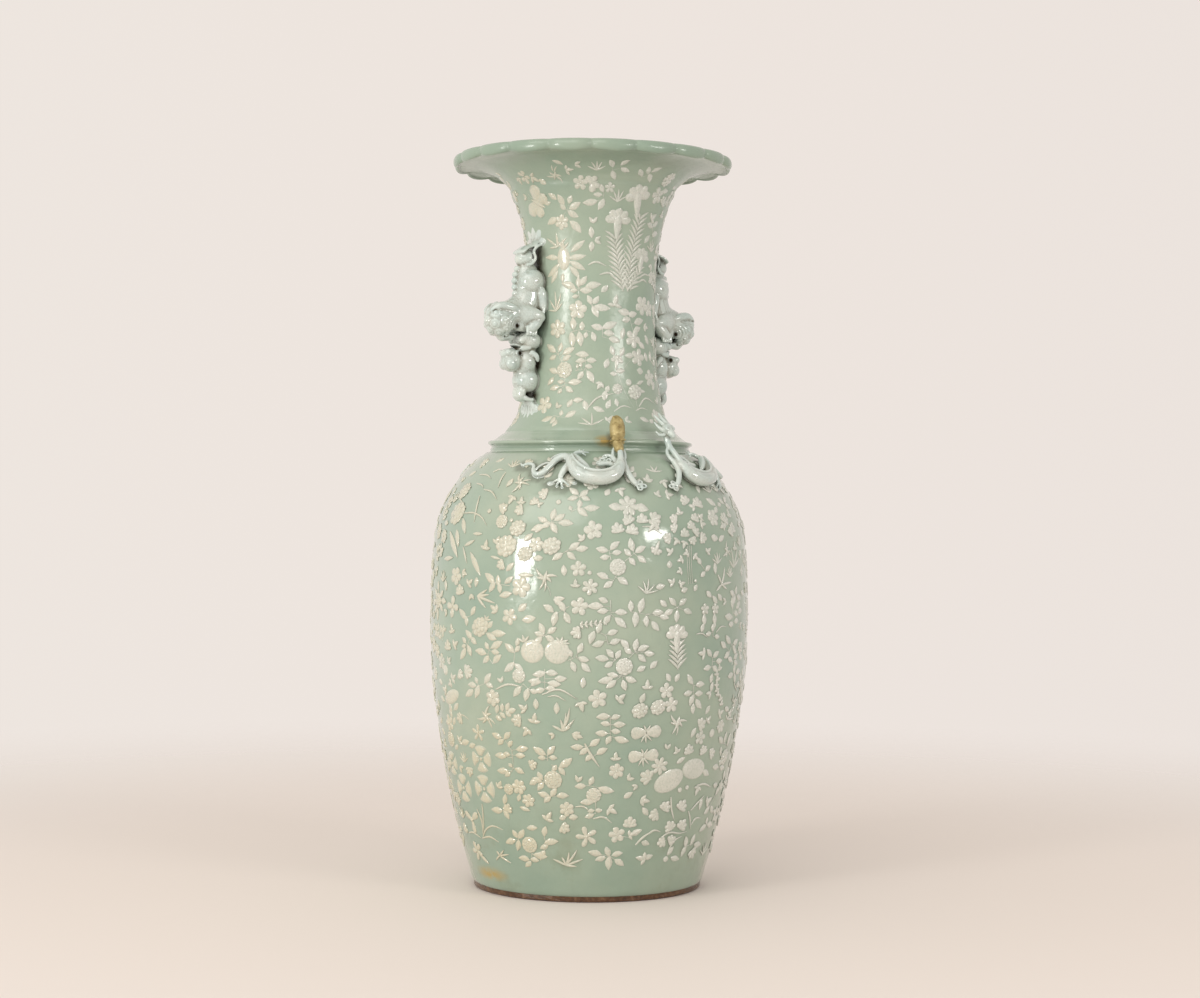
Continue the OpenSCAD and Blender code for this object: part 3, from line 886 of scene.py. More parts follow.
def model_cub():
    """The cub under the lion with its head turned up, and its tail tuft spreading on the neck."""
    clay = Clay((-4, -19, 371), (41, 19, 460), 0.55)
    pair_ball(clay, (9.6, 4.0, 446.4), (9.8, 9.4, 8.2), 1.4)
    pair_limb(clay, [(13, 9.0, 449, 3.6), (18.5, 8.4, 446.6, 3.0)], 1.0)
    clay.limb([(11, 0, 440, 8), (12.5, 0, 430, 8), (11.5, 0, 420, 8.6)], 2.0)
    pair_ball(clay, (12.0, 5.0, 429.0), (7.6, 6.6, 9.0), 1.2)
    pair_limb(clay, [(10.0, 9.8, 436, 2.4), (6.8, 11.6, 433.6, 1.8), (5.4, 11.0, 430.2, 1.3)], 0.8)
    # head
    clay.ball((23.8, 0, 429.6), (8.8, 9.2, 9.0), 1.4)
    clay.ball((25.4, 0, 435.0), (7.6, 7.8, 5.2), 1.0)
    clay.ball((25.6, 0, 441.8), (8.6, 8.4, 1.9), 0.5, True, -8)
    clay.limb([(16.5, 0, 441.0, 2.0), (22.0, 0, 442.6, 1.5)], 0.8, False, (1, 3.6, 1))
    for side in (1, -1):
        clay.ball((21.2, 7.2 * side, 435.6), (2.8, 2.6, 2.8), 0.6)
        clay.ball((20.8, 9.9 * side, 435.6), (1.4, 1.8, 1.9), 0.2, True)
        clay.ball((26.6, 5.8 * side, 427.4), (4.8, 3.6, 5.2), 0.6)
        clay.ball((29.2, 5.2 * side, 436.2), (2.8, 2.4, 2.6), 0.5)
        clay.limb([(17.6, 8.0 * side, 439.8, 2.3), (12.4, 9.8 * side, 440.4, 1.6)], 0.7, False, (1, 0.8, 1))
    # belly and feet
    pair_ball(clay, (10.6, 2.4, 414.0), (9.6, 9.4, 10.2), 1.0)
    clay.limb([(15.6, 0, 407, 4.4), (16.2, 0, 401.6, 4.2), (13.0, 0, 399.2, 2.6)], 0.8, False, (1, 1.7, 1))
    pair_limb(clay, [(13.5, 6.2, 399.6, 2.2), (9.0, 8.6, 398.4, 1.7)], 0.7)
    clay.ball((9.4, 7.0, 402.0), (3.4, 5.6, 2.3), 0.4, True)
    clay.ball((9.4, -7.0, 402.0), (3.4, 5.6, 2.3), 0.4, True)
    for v, tip, out, low in ((-2.5, -8.4, 7.0, 384), (-0.8, -3.2, 9.2, 378.5), (1.2, 3.2, 9.2, 378),
                             (3.0, 8.8, 7.0, 383.5), (5, 12.4, 7.0, 390)):
        clay.limb([(8.5, v * 0.5, 403, 2.0), (8.0, v, 398, 2.1), (6.6, v * 1.2 + tip * 0.2, 392, 1.9),
                   (out, tip, low, 1.1)], 0.5)
    for side in (1, -1):
        clay.ring((6.9, 9.6 * side, 391.5), (1, 0.2 * side, 0), 2.2, 1.0, 0.5)
    return clay


def handle_piece(name, clay, side, nodes, painted_shade_and_stain):
    """Puts a handle figure on the left (-1) or right (+1) of the neck; the last argument marks where shade,
    with some stain, is painted dark.
    """
    out = NECK_R + clay.axis(0)
    over = np.hypot(out[:, None], clay.axis(1))[:, :, None] - neck_r(clay.axis(2)) + 0.25
    glaze_fillet(clay, over, 0.3, 1.8, 2.2, over, 2.6)
    points, faces, crease = clay.surface()
    world = np.stack([side * (NECK_R + points[:, 0]), -points[:, 1], points[:, 2]], 1)
    if side < 0:
        faces = faces[:, ::-1]
    # painted shade in the figure's creases and its holes
    marks = {"hollow": np.clip((0.20 - crease) / 1.0, 0, 1), "painted_shade_and_stain": np.clip(painted_shade_and_stain(points), 0, 1)}
    figure_points.append(world[::FIGURE_THIN])
    piece(name, world, faces, FIGURE, nodes, None, marks)


def within(points, centre, radii):
    """1 inside an ellipsoid, falling to 0 a little outside it."""
    away = np.linalg.norm((points - np.array(centre)) / np.array(radii), axis=1)
    return np.clip(2.6 - 2 * away, 0, 1)


def pupils(points, place):
    """Painted shade in each eye hole: black in the middle, thinning outwards."""
    u, v, z = place
    away = [np.linalg.norm(points - np.array((u, s * v, z)), axis=1) for s in (1, -1)]
    return sum(np.clip(1.7 - a / 1.9, 0, 1) for a in away)


def lion_shade_marks(points):
    """Painted shade in the eye holes, the mouth's slot and the tail's cup, with a brown stain in the last
    two.
    """
    mouth = within(points, (20.0, 0, 451.6), (10.5, 13.0, 1.9))
    cup = within(points, (0.6, 0, 514.4), (6.4, 12.0, 7.4))
    return pupils(points, (24.6, 10.4, 457.4)) + 0.9 * mouth + 0.95 * cup


def lion_shade_marks_right(points):
    """On this handle the inside of the tail's roll is darker: painted shade with a stain."""
    return lion_shade_marks(points) + 0.8 * within(points, (6.5, 0, 516.0), (11.0, 9.4, 6.4))


def cub_shade_marks(points):
    """Painted shade in the eye holes, the mouth's slot and the hollows behind the feet."""
    mouth = within(points, (25.0, 0, 440.8), (7.6, 7.6, 1.5))
    feet = sum(within(points, (9.4, 6.6 * s, 402.0), (4.4, 6.0, 2.8)) for s in (1, -1))
    return pupils(points, (20.8, 9.0, 435.6)) + 0.75 * mouth + 0.9 * feet


for side, word, lion_marks in ((-1, "left", lion_shade_marks), (1, "right", lion_shade_marks_right)):
    handle_piece(f"{word}_lion", model_lion(), side,
                 [f"{word}_lion_body", f"{word}_lion_head", f"{word}_lion_tail"], lion_marks)
    handle_piece(f"{word}_cub", model_cub(), side, [f"{word}_cub_body", f"{word}_cub_head"], cub_shade_marks)

# ---------------------------------------------------------------- the dragons on the shoulder

PAIR_TURN = -4         # the front pair's middle, in degrees from the front
DRAGON_REF_R = 96      # across a dragon, one degree is this radius' arc
dragon_line = curve([(118.8, 318), (108.5, 335), (99.5, 345), (92.6, 351.6), (88.2, 357.5),
                     (85.6, 364), (83.2, 372), (80.0, 381), (76.5, 390)], 90)
dragon_skin = Skin(dragon_line)
DEGREE = math.radians(DRAGON_REF_R)


def slope(z):
    """How far up the shoulder's line this height is, in millimetres."""
    return float(np.interp(z, dragon_line[:, 1], dragon_skin.along))


def laid(stations):
    """(degrees from the pair's middle, height, lift, radius) into the dragon's own millimetres."""
    return [(a * DEGREE, slope(z), lift, *rest) for a, z, lift, *rest in stations]


def model_dragon(with_head):
    """One lizard dragon, drawn on the unrolled shoulder: (along, up the slope, lift)."""
    clay = Clay((3 * DEGREE, slope(322), -3), (63 * DEGREE, slope(388), 17), 0.45)

    def limb(stations, k=0.8):
        clay.limb(laid(stations), k)

    def ball(place, radii, k=0.8, cut=False):
        clay.ball(laid([place])[0][:3], radii, k, cut)

    # body, in a hanging curve from the hips to the neck
    limb([(36.4, 346.5, 4.6, 3.4), (34.8, 340.5, 4.6, 4.2), (31.3, 334.6, 4.9, 4.5), (26.5, 332.0, 5.2, 4.7),
          (21.5, 332.2, 5.2, 4.7), (17.2, 336.2, 5.2, 4.2), (14.9, 342.5, 5.6, 3.1)], 1.5)
    # a ridge along its back
    limb([(36.0, 347.5, 8.0, 0.6), (33.4, 341.5, 9.0, 0.7), (29.6, 336.8, 9.6, 0.75),
          (25.0, 335.0, 9.8, 0.75), (20.4, 336.0, 9.6, 0.75), (17.0, 340.0, 8.6, 0.65),
          (15.4, 345.0, 8.2, 0.55)], 0.5)
    # neck: two flat straps with gaps beside them, up and over the collar
    limb([(15.2, 342, 6.2, 2.5), (14.4, 347, 7.4, 2.0), (14.2, 352, 7.8, 1.9), (14.5, 357, 6.0, 2.2)])
    limb([(13.6, 344, 4.2, 1.8), (11.8, 348.5, 4.4, 1.3), (12.0, 353, 5.2, 1.2), (13.8, 357, 5.6, 1.4)])
    limb([(16.6, 343, 4.2, 1.6), (17.4, 348, 4.6, 1.2), (16.8, 353, 5.4, 1.2), (15.2, 357, 5.8, 1.4)])
    # tail
    limb([(36.0, 345, 4.4, 3.4), (39.5, 348.6, 3.8, 2.7), (43.0, 347.0, 3.0, 2.3), (45.6, 342.0, 2.4, 2.0),
          (48.0, 337.0, 2.1, 1.8), (50.8, 336.2, 1.9, 1.6), (52.6, 339.0, 1.7, 1.3), (53.6, 343.2, 1.6, 1.15),
          (56.5, 344.6, 1.4, 1.0), (59.5, 343.4, 1.2, 0.75), (61.0, 345.2, 1.2, 0.45)])
    limb([(52.0, 338.6, 1.6, 0.9), (50.2, 342.6, 1.7, 0.8), (47.4, 344.9, 1.8, 0.8),
          (44.6, 344.2, 1.9, 0.8)], 0.4)
    limb([(37.5, 350.2, 3.2, 1.3), (40.5, 351.6, 2.6, 1.1), (44.0, 350.8, 2.0, 0.8),
          (46.5, 348.8, 1.4, 0.5)], 0.5)
    # hind legs: one down with spread toes, a leaf-shaped thigh and a foot above it
    limb([(36.5, 342.5, 4.0, 2.7), (38.4, 338.5, 3.8, 2.2), (39.8, 334.0, 2.6, 1.6), (39.4, 331.8, 1.8, 1.5)])
    for a, z in ((42.6, 330.6), (41.0, 328.0), (38.8, 327.0), (36.4, 328.4)):
        limb([(39.5, 332.2, 1.8, 1.1), ((39.5 + a) / 2, (332.2 + z) / 2, 2.1, 0.9), (a, z, 0.8, 0.65)], 0.35)
    limb([(36.2, 349.4, 5.0, 1.3), (34.6, 347.2, 5.4, 2.3), (32.2, 344.0, 5.2, 2.6), (29.6, 341.0, 4.4, 1.9),
          (28.2, 339.8, 3.6, 0.9)], 0.5)
    limb([(36.0, 349.0, 4.4, 1.6), (34.4, 352.0, 3.6, 1.5), (32.0, 353.0, 3.0, 1.5)], 0.6)
    for a, z in ((33.4, 356.0), (31.0, 355.8), (28.6, 353.6), (30.0, 351.0)):
        limb([(32.2, 353.0, 3.0, 0.95), (a, z, 1.8, 0.6)], 0.3)
    # forelegs: one raised in the hollow of the body with curled claws, one braced outwards
    limb([(16.2, 344.6, 4.4, 2.0), (18.2, 348.6, 4.2, 1.5), (20.6, 349.6, 3.8, 1.3)], 0.5)
    limb([(17.6, 341.6, 4.2, 1.7), (20.2, 342.6, 4.8, 1.7), (23.6, 342.2, 4.6, 1.8)], 0.5)
    for a, z, size in ((19.6, 345.6, 1.6), (22.4, 345.8, 1.7), (24.0, 343.6, 1.5), (21.2, 348.4, 1.5)):
        clay.ring(laid([(a, z, 4.0)])[0], (0.2, 0.1, 1), size, 0.75, 0.35)
    ball((13.4, 344.2, 4.0), (3.0, 3.8, 2.6))
    limb([(13.2, 343.0, 4.0, 2.2), (12.6, 338.5, 3.6, 1.9), (11.2, 333.6, 2.8, 1.75), (9.6, 329.4, 2.2, 1.6)])
    for a, z, size in ((7.6, 330.4, 1.5), (6.2, 327.6, 1.6), (8.0, 325.6, 1.4)):
        clay.ring(laid([(a, z, 1.8)])[0], (0.1, 0.2, 1), size, 0.7, 0.35)
        limb([(9.6, 329.2, 1.9, 0.9), (a + 0.6, z, 1.7, 0.6)], 0.3)
    for a, z in ((44.0, 330.0), (34.2, 330.6)):
        ball((a, z, 0.2), (1.1, 0.9, 0.8))
    if with_head:
        model_head(limb, ball)
    lift = clay.axis(2)[None, None, :] + 0.1
    # over the collar the neck stands free, so no glaze gathers under it
    free = np.clip((clay.axis(1) - slope(349)) / 4, 0, 1)[None, :, None] * 8
    glaze_fillet(clay, lift + free, 0.25, 1.4, 1.6, lift, 2.2)
    return clay


def model_head(limb, ball):
    """The head standing over the collar: brow, snout, horns and swept hair."""
    limb([(14.5, 355, 6.2, 2.5), (14.5, 361, 6.0, 2.4), (14.5, 367, 6.4, 2.8)], 0.8)
    ball((14.5, 371.5, 8.0), (5.4, 5.2, 4.6), 1.2)
    limb([(14.5, 370.0, 10.0, 3.2), (14.5, 366.4, 12.2, 2.4), (14.5, 364.6, 13.0, 1.9)], 0.9)
    ball((14.5, 365.4, 13.4), (2.6, 1.2, 1.6), 0.5)
    for s in (-1, 1):
        limb([(14.5 + s * 1.6, 373.0, 10.6, 1.5), (14.5 + s * 2.4, 371.4, 11.4, 1.3)], 0.4)
        ball((14.5 + s * 1.8, 370.4, 11.8), 1.0, 0.3)
        for horn in (((1.6, 375.0, 8.0, 1.5), (2.6, 380.0, 5.0, 1.2), (3.6, 384.6, 2.6, 0.7)),
                     ((2.8, 371.0, 7.6, 1.6), (4.4, 374.4, 5.6, 1.1), (5.4, 378.4, 4.0, 0.6)),
                     ((2.6, 367.6, 7.2, 1.5), (4.6, 368.0, 5.8, 1.0), (5.8, 371.0, 4.4, 0.6))):
            limb([(14.5 + s * a, *rest) for a, *rest in horn], 0.4)
    limb([(14.5, 376.0, 8.2, 1.8), (14.1, 381.0, 5.4, 1.4), (14.7, 386.0, 3.0, 0.8)], 0.4)


def dragon_world(points, middle, side):
    """Lays a dragon's own millimetres on the shoulder, to one side (-1 or +1) of the pair's middle."""
    angle = math.radians(middle) + side * points[:, 0] / DRAGON_REF_R
    return dragon_skin.points(angle, points[:, 1], points[:, 2])


def place_dragon(name, surface, middle, side, nodes):
    points, faces, crease = surface
    if side > 0:
        faces = faces[:, ::-1]
    # painted shade in the gaps beside the neck straps
    strap = np.abs(points[:, 0] - 14.4 * DEGREE) < 3.6 * DEGREE
    high = np.abs(points[:, 1] - slope(352))
    gaps = np.clip(1.3 - high / 4.5, 0, 1) * strap * np.clip((5.0 - points[:, 2]) / 2, 0, 1)
    # painted shade in the dragon's creases and its gaps
    marks = {"hollow": np.clip((0.30 - crease) / 1.2, 0, 1), "painted_shade_and_stain": 0.8 * gaps}
    world = dragon_world(points, middle, side)
    figure_points.append(world[::FIGURE_THIN])
    piece(name, world, faces, FIGURE, nodes, None, marks)


whole = model_dragon(True).surface()
headless = model_dragon(False).surface()
place_dragon("front_left_lizard", headless, PAIR_TURN, -1, ["front_left_dragon"])
place_dragon("front_right_lizard", whole, PAIR_TURN, 1, ["front_right_dragon", "front_right_dragon_head"])
place_dragon("back_left_lizard", whole, PAIR_TURN + 180, 1, ["back_left_dragon", "back_left_dragon_head"])
place_dragon("back_right_lizard", whole, PAIR_TURN + 180, -1, ["back_right_dragon", "back_right_dragon_head"])


def make_gilt_head():
    """The old replacement head: a plain egg on a stem with a ragged collar."""
    clay = Clay((6 * DEGREE, slope(346), -2), (23 * DEGREE, slope(388), 20), 0.4)
    clay.limb(laid([(14.4, 351.6, 8.0, 3.3), (14.4, 357, 7.0, 3.9), (14.4, 363, 6.4, 4.2)]), 1.0)
    clay.ball(laid([(14.4, 371.6, 8.2)])[0][:3], (6.4, 10.4, 6.0), 1.6)
    clay.ball(laid([(14.4, 367.0, 8.0)])[0][:3], (6.0, 6.4, 5.6), 1.5)
    for turn in range(9):
        e = TAU * turn / 9
        middle = np.array(laid([(14.4, 361.6 + 0.8 * math.sin(3 * e), 6.6)])[0][:3])
        at = middle + [5.0 * math.cos(e), 0, 4.6 * math.sin(e)]
        clay.ball(at, (1.7, 1.2 + 0.5 * (turn % 2), 1.5), 0.7)
    for shift, z, lift, size in ((-1.6, 376, 13.0, 1.2), (1.5, 373, 13.4, 0.9), (0.4, 366.5, 13.2, 1.1),
                                 (-2.2, 368, 12.2, 1.0), (2.0, 379, 10.8, 1.0)):
        clay.ball(laid([(14.4 + shift, z, lift)])[0][:3], size, 0.9)
    points, faces, crease = clay.surface()
    marks = {"hollow": np.clip((0.2 - crease) / 1.0, 0, 1)}
    piece("gilt_head", dragon_world(points, PAIR_TURN, -1), faces, GILT,
          ["front_left_dragon_gilt_head"], None, marks)


make_gilt_head()
make_shell()
make_collar()
make_neck()

# ---------------------------------------------------------------- raised slip flowers

# Outlines of a leaf and a petal: (share of its length, share of its half width)
LEAF = [(0, 0.12), (0.16, 0.62), (0.40, 1.0), (0.66, 0.84), (0.87, 0.42), (1, 0.03)]
PETAL = [(0, 0.30), (0.20, 0.62), (0.50, 0.95), (0.76, 1.0), (0.93, 0.66), (1, 0.18)]
GROW_LENGTH, GROW_WIDTH = 1.32, 1.40     # every leaf is laid this much larger than its call says
# Sections of a strip: (share of its half width, share of its height, or millimetres sunk below 0)
DOME = ((-1, -0.20), (-0.84, 0.66), (0, 1.0), (0.84, 0.66), (1, -0.20))
THIN_DOME = ((-1, -0.3), (0, 1.0), (1, -0.3))


class Slip:
    """White slip on one skin of the vase; places are (degrees from the front, height)."""

    def __init__(self, skin, by_radius=False):
        self.skin, self.by_radius = skin, by_radius
        self.points, self.faces, self.marks, self.count = [], [], [], 0
        self.taken = []

    def place(self, spot):
        """How far along the meridian a spot is, and its radius."""
        along = self.skin.at_radius(spot[1]) if self.by_radius else self.skin.at_height(spot[1])
        return float(along), float(self.skin.radius(along))

    def offset(self, spot, x, y):
        """A spot moved by millimetres across and up (on top of the mouth: across and inwards)."""
        _, r = self.place(spot)
        return spot[0] + math.degrees(x / r), spot[1] + (-y if self.by_radius else y)

    def span(self, a, b):
        """The way from spot a to spot b, in millimetres."""
        _, r = self.place(a)
        rise = a[1] - b[1] if self.by_radius else b[1] - a[1]
        return math.radians(b[0] - a[0]) * r, rise

    def polar(self, spot, distance, turn):
        """A spot moved by a distance in millimetres, the way turn says."""
        e = math.radians(turn)
        return self.offset(spot, distance * math.cos(e), distance * math.sin(e))

    def claim(self, spot, radius):
        """Keeps the filler away from a motif."""
        self.taken.append((spot[0], spot[1], radius))

    def add(self, spot, grid, lift, rows, columns, closed=False):
        """A patch of rows by columns of (x, y) millimetres about a spot, at the lifts given."""
        along, r = self.place(spot)
        angle = math.radians(spot[0]) + grid[:, 0] / r
        self.points.append(self.skin.points(angle, along + grid[:, 1], lift))
        i = np.arange(rows - 1)[:, None] * columns
        j = np.arange(columns if closed else columns - 1)[None, :]
        j2 = (j + 1) % columns
        quads = np.stack([i + j, i + columns + j, i + columns + j2, i + j2], -1).reshape(-1, 4)
        self.faces.append(quads + self.count)
        self.marks.append(np.clip(-lift * 3.6, 0, 1))
        self.count += len(grid)

    def strip(self, spot, spine, half, height, dome=DOME):
        """A low domed strip along a spine of (x, y), half as wide as half says at each point."""
        spine = np.asarray(spine, float)
        way = np.gradient(spine, axis=0)
        way /= np.maximum(np.linalg.norm(way, axis=1), 1e-6)[:, None]
        across = np.stack([-way[:, 1], way[:, 0]], 1)
        dome = np.array(dome)
        grid = spine[:, None] + across[:, None] * (half[:, None] * dome[:, 0])[..., None]
        grow = np.clip(half / 0.9, 0.25, 1)[:, None]
        lift = np.where(dome[:, 1] > 0, height * grow * dome[:, 1], dome[:, 1])
        lift = np.broadcast_to(lift, grid.shape[:2])
        self.add(spot, grid.reshape(-1, 2), lift.ravel(), len(spine), len(dome))

    def leaf(self, spot, turn, length=7.2, half=1.9, bend=0.0, shape=LEAF, height=0.30):
        """A leaf whose middle is on the spot, pointing the way turn says (degrees, 0 across, 90 up)."""
        t, w = np.array(shape).T
        length, half = length * GROW_LENGTH, half * GROW_WIDTH
        e = math.radians(turn)
        way, side = np.array([math.cos(e), math.sin(e)]), np.array([-math.sin(e), math.cos(e)])
        spine = (t - 0.5)[:, None] * length * way + (bend * length * 4 * t * (1 - t))[:, None] * side
        self.strip(spot, spine, np.maximum(half * w, 0.12), height)
        self.claim(spot, length * 0.5)

    def stem(self, spots, half=0.42, height=0.35, taper=True):
        """A thin line through several spots."""
        first = spots[0]
        line = np.array([self.span(first, s) for s in spots])
        n = max(4, int(np.linalg.norm(np.diff(line, axis=0), axis=1).sum() / 2.2))
        line = curve(line, n) if len(line) > 2 else np.linspace(line[0], line[1], n)
        widths = half * (np.linspace(1, 0.45, n) if taper else np.ones(n))
        self.strip(first, line, widths, height, THIN_DOME)

    def blade(self, spots, half=0.85):
        """A long pointed grass leaf through several spots."""
        first = spots[0]
        line = curve(np.array([self.span(first, s) for s in spots]), 9)
        t = np.linspace(0, 1, 9)
        self.strip(first, line, half * np.maximum(np.sin(math.pi * (0.12 + 0.88 * t)) ** 0.7, 0.15), 0.5)
        for x, y in line[[2, 5, 7]]:
            self.claim(self.offset(first, x, y), 2.0)

    def disc(self, spot, rx, ry=None, height=0.5, turn=0):
        """A low round or oval button."""
        ry = ry or rx
        rings = np.array([(1.0, -0.2), (0.9, 0.5), (0.6, 0.9), (0.2, 1.0)])
        n = 20 if rx > 4 else 12
        e = np.linspace(0, TAU, n, endpoint=False)
        x, y = rx * np.cos(e), ry * np.sin(e)
        c, s = math.cos(math.radians(turn)), math.sin(math.radians(turn))
        rim = np.stack([c * x - s * y, s * x + c * y], 1)
        grid = (rings[:, 0][:, None, None] * rim).reshape(-1, 2)
        lift = np.repeat(np.where(rings[:, 1] > 0, rings[:, 1] * height, rings[:, 1]), n)
        start = self.count
        self.add(spot, grid, lift, 4, n, True)
        self.faces[-1] = self.faces[-1][:, ::-1]
        cap = start + 3 * n + np.arange(n)
        half = n // 2
        for k in range(half - 1):
            self.faces.append(np.array([[cap[k], cap[k + 1], cap[n - 2 - k], cap[n - 1 - k]]]))
        self.claim(spot, max(rx, ry))

    def star(self, spot, size=6, petals=5, turn=90, wide=0.32):
        """An open flower: petals round a small middle."""
        for k in range(petals):
            e = turn + 360 * k / petals
            self.leaf(self.polar(spot, 0.58 * size, e), e, size * 0.86, size * wide * 0.95, 0.04, PETAL)
        self.disc(spot, size * 0.16, height=0.95)
        self.claim(spot, size)

    def rose(self, spot, r=5.5, petals=9):
        """A round full flower: a frilled edge, a domed middle and rings of dots on it."""
        for k in range(petals):
            e = 360 * k / petals
            self.leaf(self.polar(spot, 0.78 * r, e), e, r * 0.55, r * 0.30, 0, PETAL)
        self.disc(spot, 0.90 * r, height=0.6)
        for ring, count in ((0.62, 9), (0.28, 4)):
            for k in range(count):
                e = 360 * k / count + math.degrees(0.3)
                self.disc(self.polar(spot, ring * r, e), r * 0.12, height=0.95)
        self.claim(spot, r)

    def peony(self, spot, r=7):
        """A ragged full flower: two rounds of uneven petals."""
        turn = 20
        for k in range(9):
            e = turn + 40 * k
            out = r * (0.62 + 0.10 * math.sin(5 * k + turn))
            self.leaf(self.polar(spot, out, e), e, r * 0.62, r * 0.26, 0.06, PETAL, 0.65)
        for k in range(5):
            e = turn + 15 + 72 * k
            self.leaf(self.polar(spot, 0.3 * r, e), e, r * 0.55, r * 0.24, 0, PETAL, 0.95)
        self.claim(spot, r)

    def lobed(self, spot, turn=90, size=6, lobes=5, spread=150):
        """A lobed leaf fanning from its stalk; the spot is the leaf's middle."""
        foot = self.polar(spot, -0.42 * size, turn)
        shape = PETAL if lobes > 3 else LEAF
        for k in range(lobes):
            share = 2 * k / (lobes - 1) - 1
            a = turn + spread / 2 * share
            length = size * (1.0 - 0.28 * abs(share))
            self.leaf(self.polar(foot, 0.5 * length, a), a, length, length * 0.20 + 0.25, 0, shape, 0.6)
        self.claim(spot, size * 0.7)

    def sprig(self, path, leaves, length=7.0, half=1.85, stalks=True):
        """Leaves along a stem; every leaf points away from the nearest place on the stem."""
        if len(path) > 1:
            self.stem(path)
        base = [np.array(self.span(path[0], p)) for p in path]
        line = np.concatenate([np.linspace(a, b, 8) for a, b in zip(base, base[1:])] or [base])
        for phi, z, *size in leaves:
            at = np.array(self.span(path[0], (phi, z)))
            nearest = line[np.linalg.norm(line - at, axis=1).argmin()]
            away = at - nearest
            gap = np.linalg.norm(away)
            turn = math.degrees(math.atan2(away[1], away[0]))
            reach = 1.18 * length * (size[0] if size else 1)
            wide = 1.12 * half * (size[0] if size else 1) ** 0.5
            self.leaf((phi, z), turn, reach, wide, 0.05 * math.sin(phi + z))
            if stalks and gap > reach * 0.36:
                start = self.offset(path[0], *nearest)
                end = self.offset(path[0], *(nearest + away * (1 - 0.4 * reach / gap)))
                self.stem([start, end], 0.36)

    def tuft(self, spot, tips, half=0.9):
        """Narrow blades from one spot to each tip."""
        for phi, z in tips:
            middle = ((spot[0] + phi) / 2 + 0.06 * (z - spot[1]) / 2.2, (spot[1] + z) / 2)
            self.blade([spot, middle, (phi, z)], half)

    def fern(self, path, rungs, length, half=0.8, lean=38):
        """Narrow leaves in pairs up a stem."""
        self.stem(path, 0.45)
        first = path[0]
        line = np.array([self.span(first, p) for p in path])
        if len(line) == 2:
            line = np.array([line[0], line.mean(0), line[1]])
        line = curve(line, rungs + 1)
        for k, (a, b) in enumerate(zip(line, line[1:])):
            up = math.degrees(math.atan2(b[1] - a[1], b[0] - a[0]))
            size = length * (1 - 0.25 * k / rungs)
            for s in (-1, 1):
                e = math.radians(up + s * lean)
                at = a + 0.56 * size * np.array([math.cos(e), math.sin(e)])
                self.leaf(self.offset(first, *at), up + s * lean, size, half, -0.08 * s, LEAF, 0.5)

    def lily(self, spot, turn=90, size=10):
        """A trumpet flower: a tube that opens in five pointed petals."""
        self.leaf(self.polar(spot, -0.45 * size, turn), turn, size * 1.1, size * 0.19, 0, PETAL, 0.8)
        for a, grow, bend in ((-78, 0.95, -0.1), (-38, 0.85, -0.1), (0, 0.8, 0), (38, 0.85, 0.1),
                              (78, 0.95, 0.1)):
            tip = self.polar(spot, 0.42 * size * grow, turn + a)
            self.leaf(tip, turn + a * 1.15, size * 0.72 * grow, size * 0.19, bend, PETAL, 0.4)
        self.claim(spot, size * 0.9)

    def butterfly(self, spot, turn=90, size=8):
        """Four wings, a body and two feelers."""
        for a, length, wide in ((58, 1.0, 0.34), (-58, 1.0, 0.34), (122, 0.75, 0.27), (-122, 0.75, 0.27)):
            at = self.polar(spot, 0.55 * size * length, turn + a)
            self.leaf(at, turn + a, size * length, size * wide, 0, PETAL, 0.7)
        self.leaf(spot, turn, size * 0.95, size * 0.11, 0, LEAF, 1.0)
        for a in (14, -14):
            self.stem([self.polar(spot, 0.3 * size, turn), self.polar(spot, size, turn + a)], 0.3)
        self.claim(spot, size * 0.9)

    def swallow(self, spot, turn=0, size=9):
        """A bird or dragonfly in flight: narrow swept wings and a forked tail."""
        self.leaf(spot, turn, size * 0.9, size * 0.14, 0, LEAF, 0.9)
        for a, length in ((62, 1.0), (-70, 0.95), (100, 0.7), (-112, 0.6)):
            at = self.polar(spot, 0.5 * size * length, turn + a)
            self.leaf(at, turn + a, size * length, size * 0.10, 0.12, LEAF, 0.6)
        for a in (168, 194):
            at = self.polar(spot, 0.7 * size, turn + a)
            self.leaf(at, turn + a, size * 0.75, size * 0.07, 0.08, LEAF, 0.5)
        self.claim(spot, size * 0.8)

    def coin(self, spot, r=11):
        """A medallion of four quarters parted by a diagonal cross, with a bead in the middle."""
        columns, rows = 9, 6
        share = np.linspace(0, 1, rows)[:, None]
        radius = (0.24 + 0.76 * share) * r
        across = np.linspace(-1, 1, columns) * math.radians(39) * (0.82 + 0.18 * share)
        lift = np.full((rows, columns), 0.8)
        lift[[0, -1]] = lift[:, [0, -1]] = -0.2
        for quarter in range(4):
            a = math.radians(90 * quarter) + across
            grid = np.stack([radius * np.cos(a), radius * np.sin(a)], -1).reshape(-1, 2)
            self.add(spot, grid, lift.ravel(), rows, columns)
        self.disc(spot, 0.13 * r)
        self.claim(spot, r)

    def fruit(self, spot, rx, ry, turn=0, ribs=0):
        """A big melon or pomegranate, with shallow ribs."""
        self.disc(spot, rx, ry, 0.55, turn)
        c, s = math.cos(math.radians(turn)), math.sin(math.radians(turn))
        for k in range(ribs):
            x0 = (2 * (k + 0.5) / ribs - 1) * rx * 0.75
            half = ry * 0.8 * math.sqrt(1 - (x0 / rx) ** 2)
            spots = [self.offset(spot, c * x0 - s * y, s * x0 + c * y) for y in (-half, 0, half)]
            self.stem(spots, 0.55, 0.85, False)

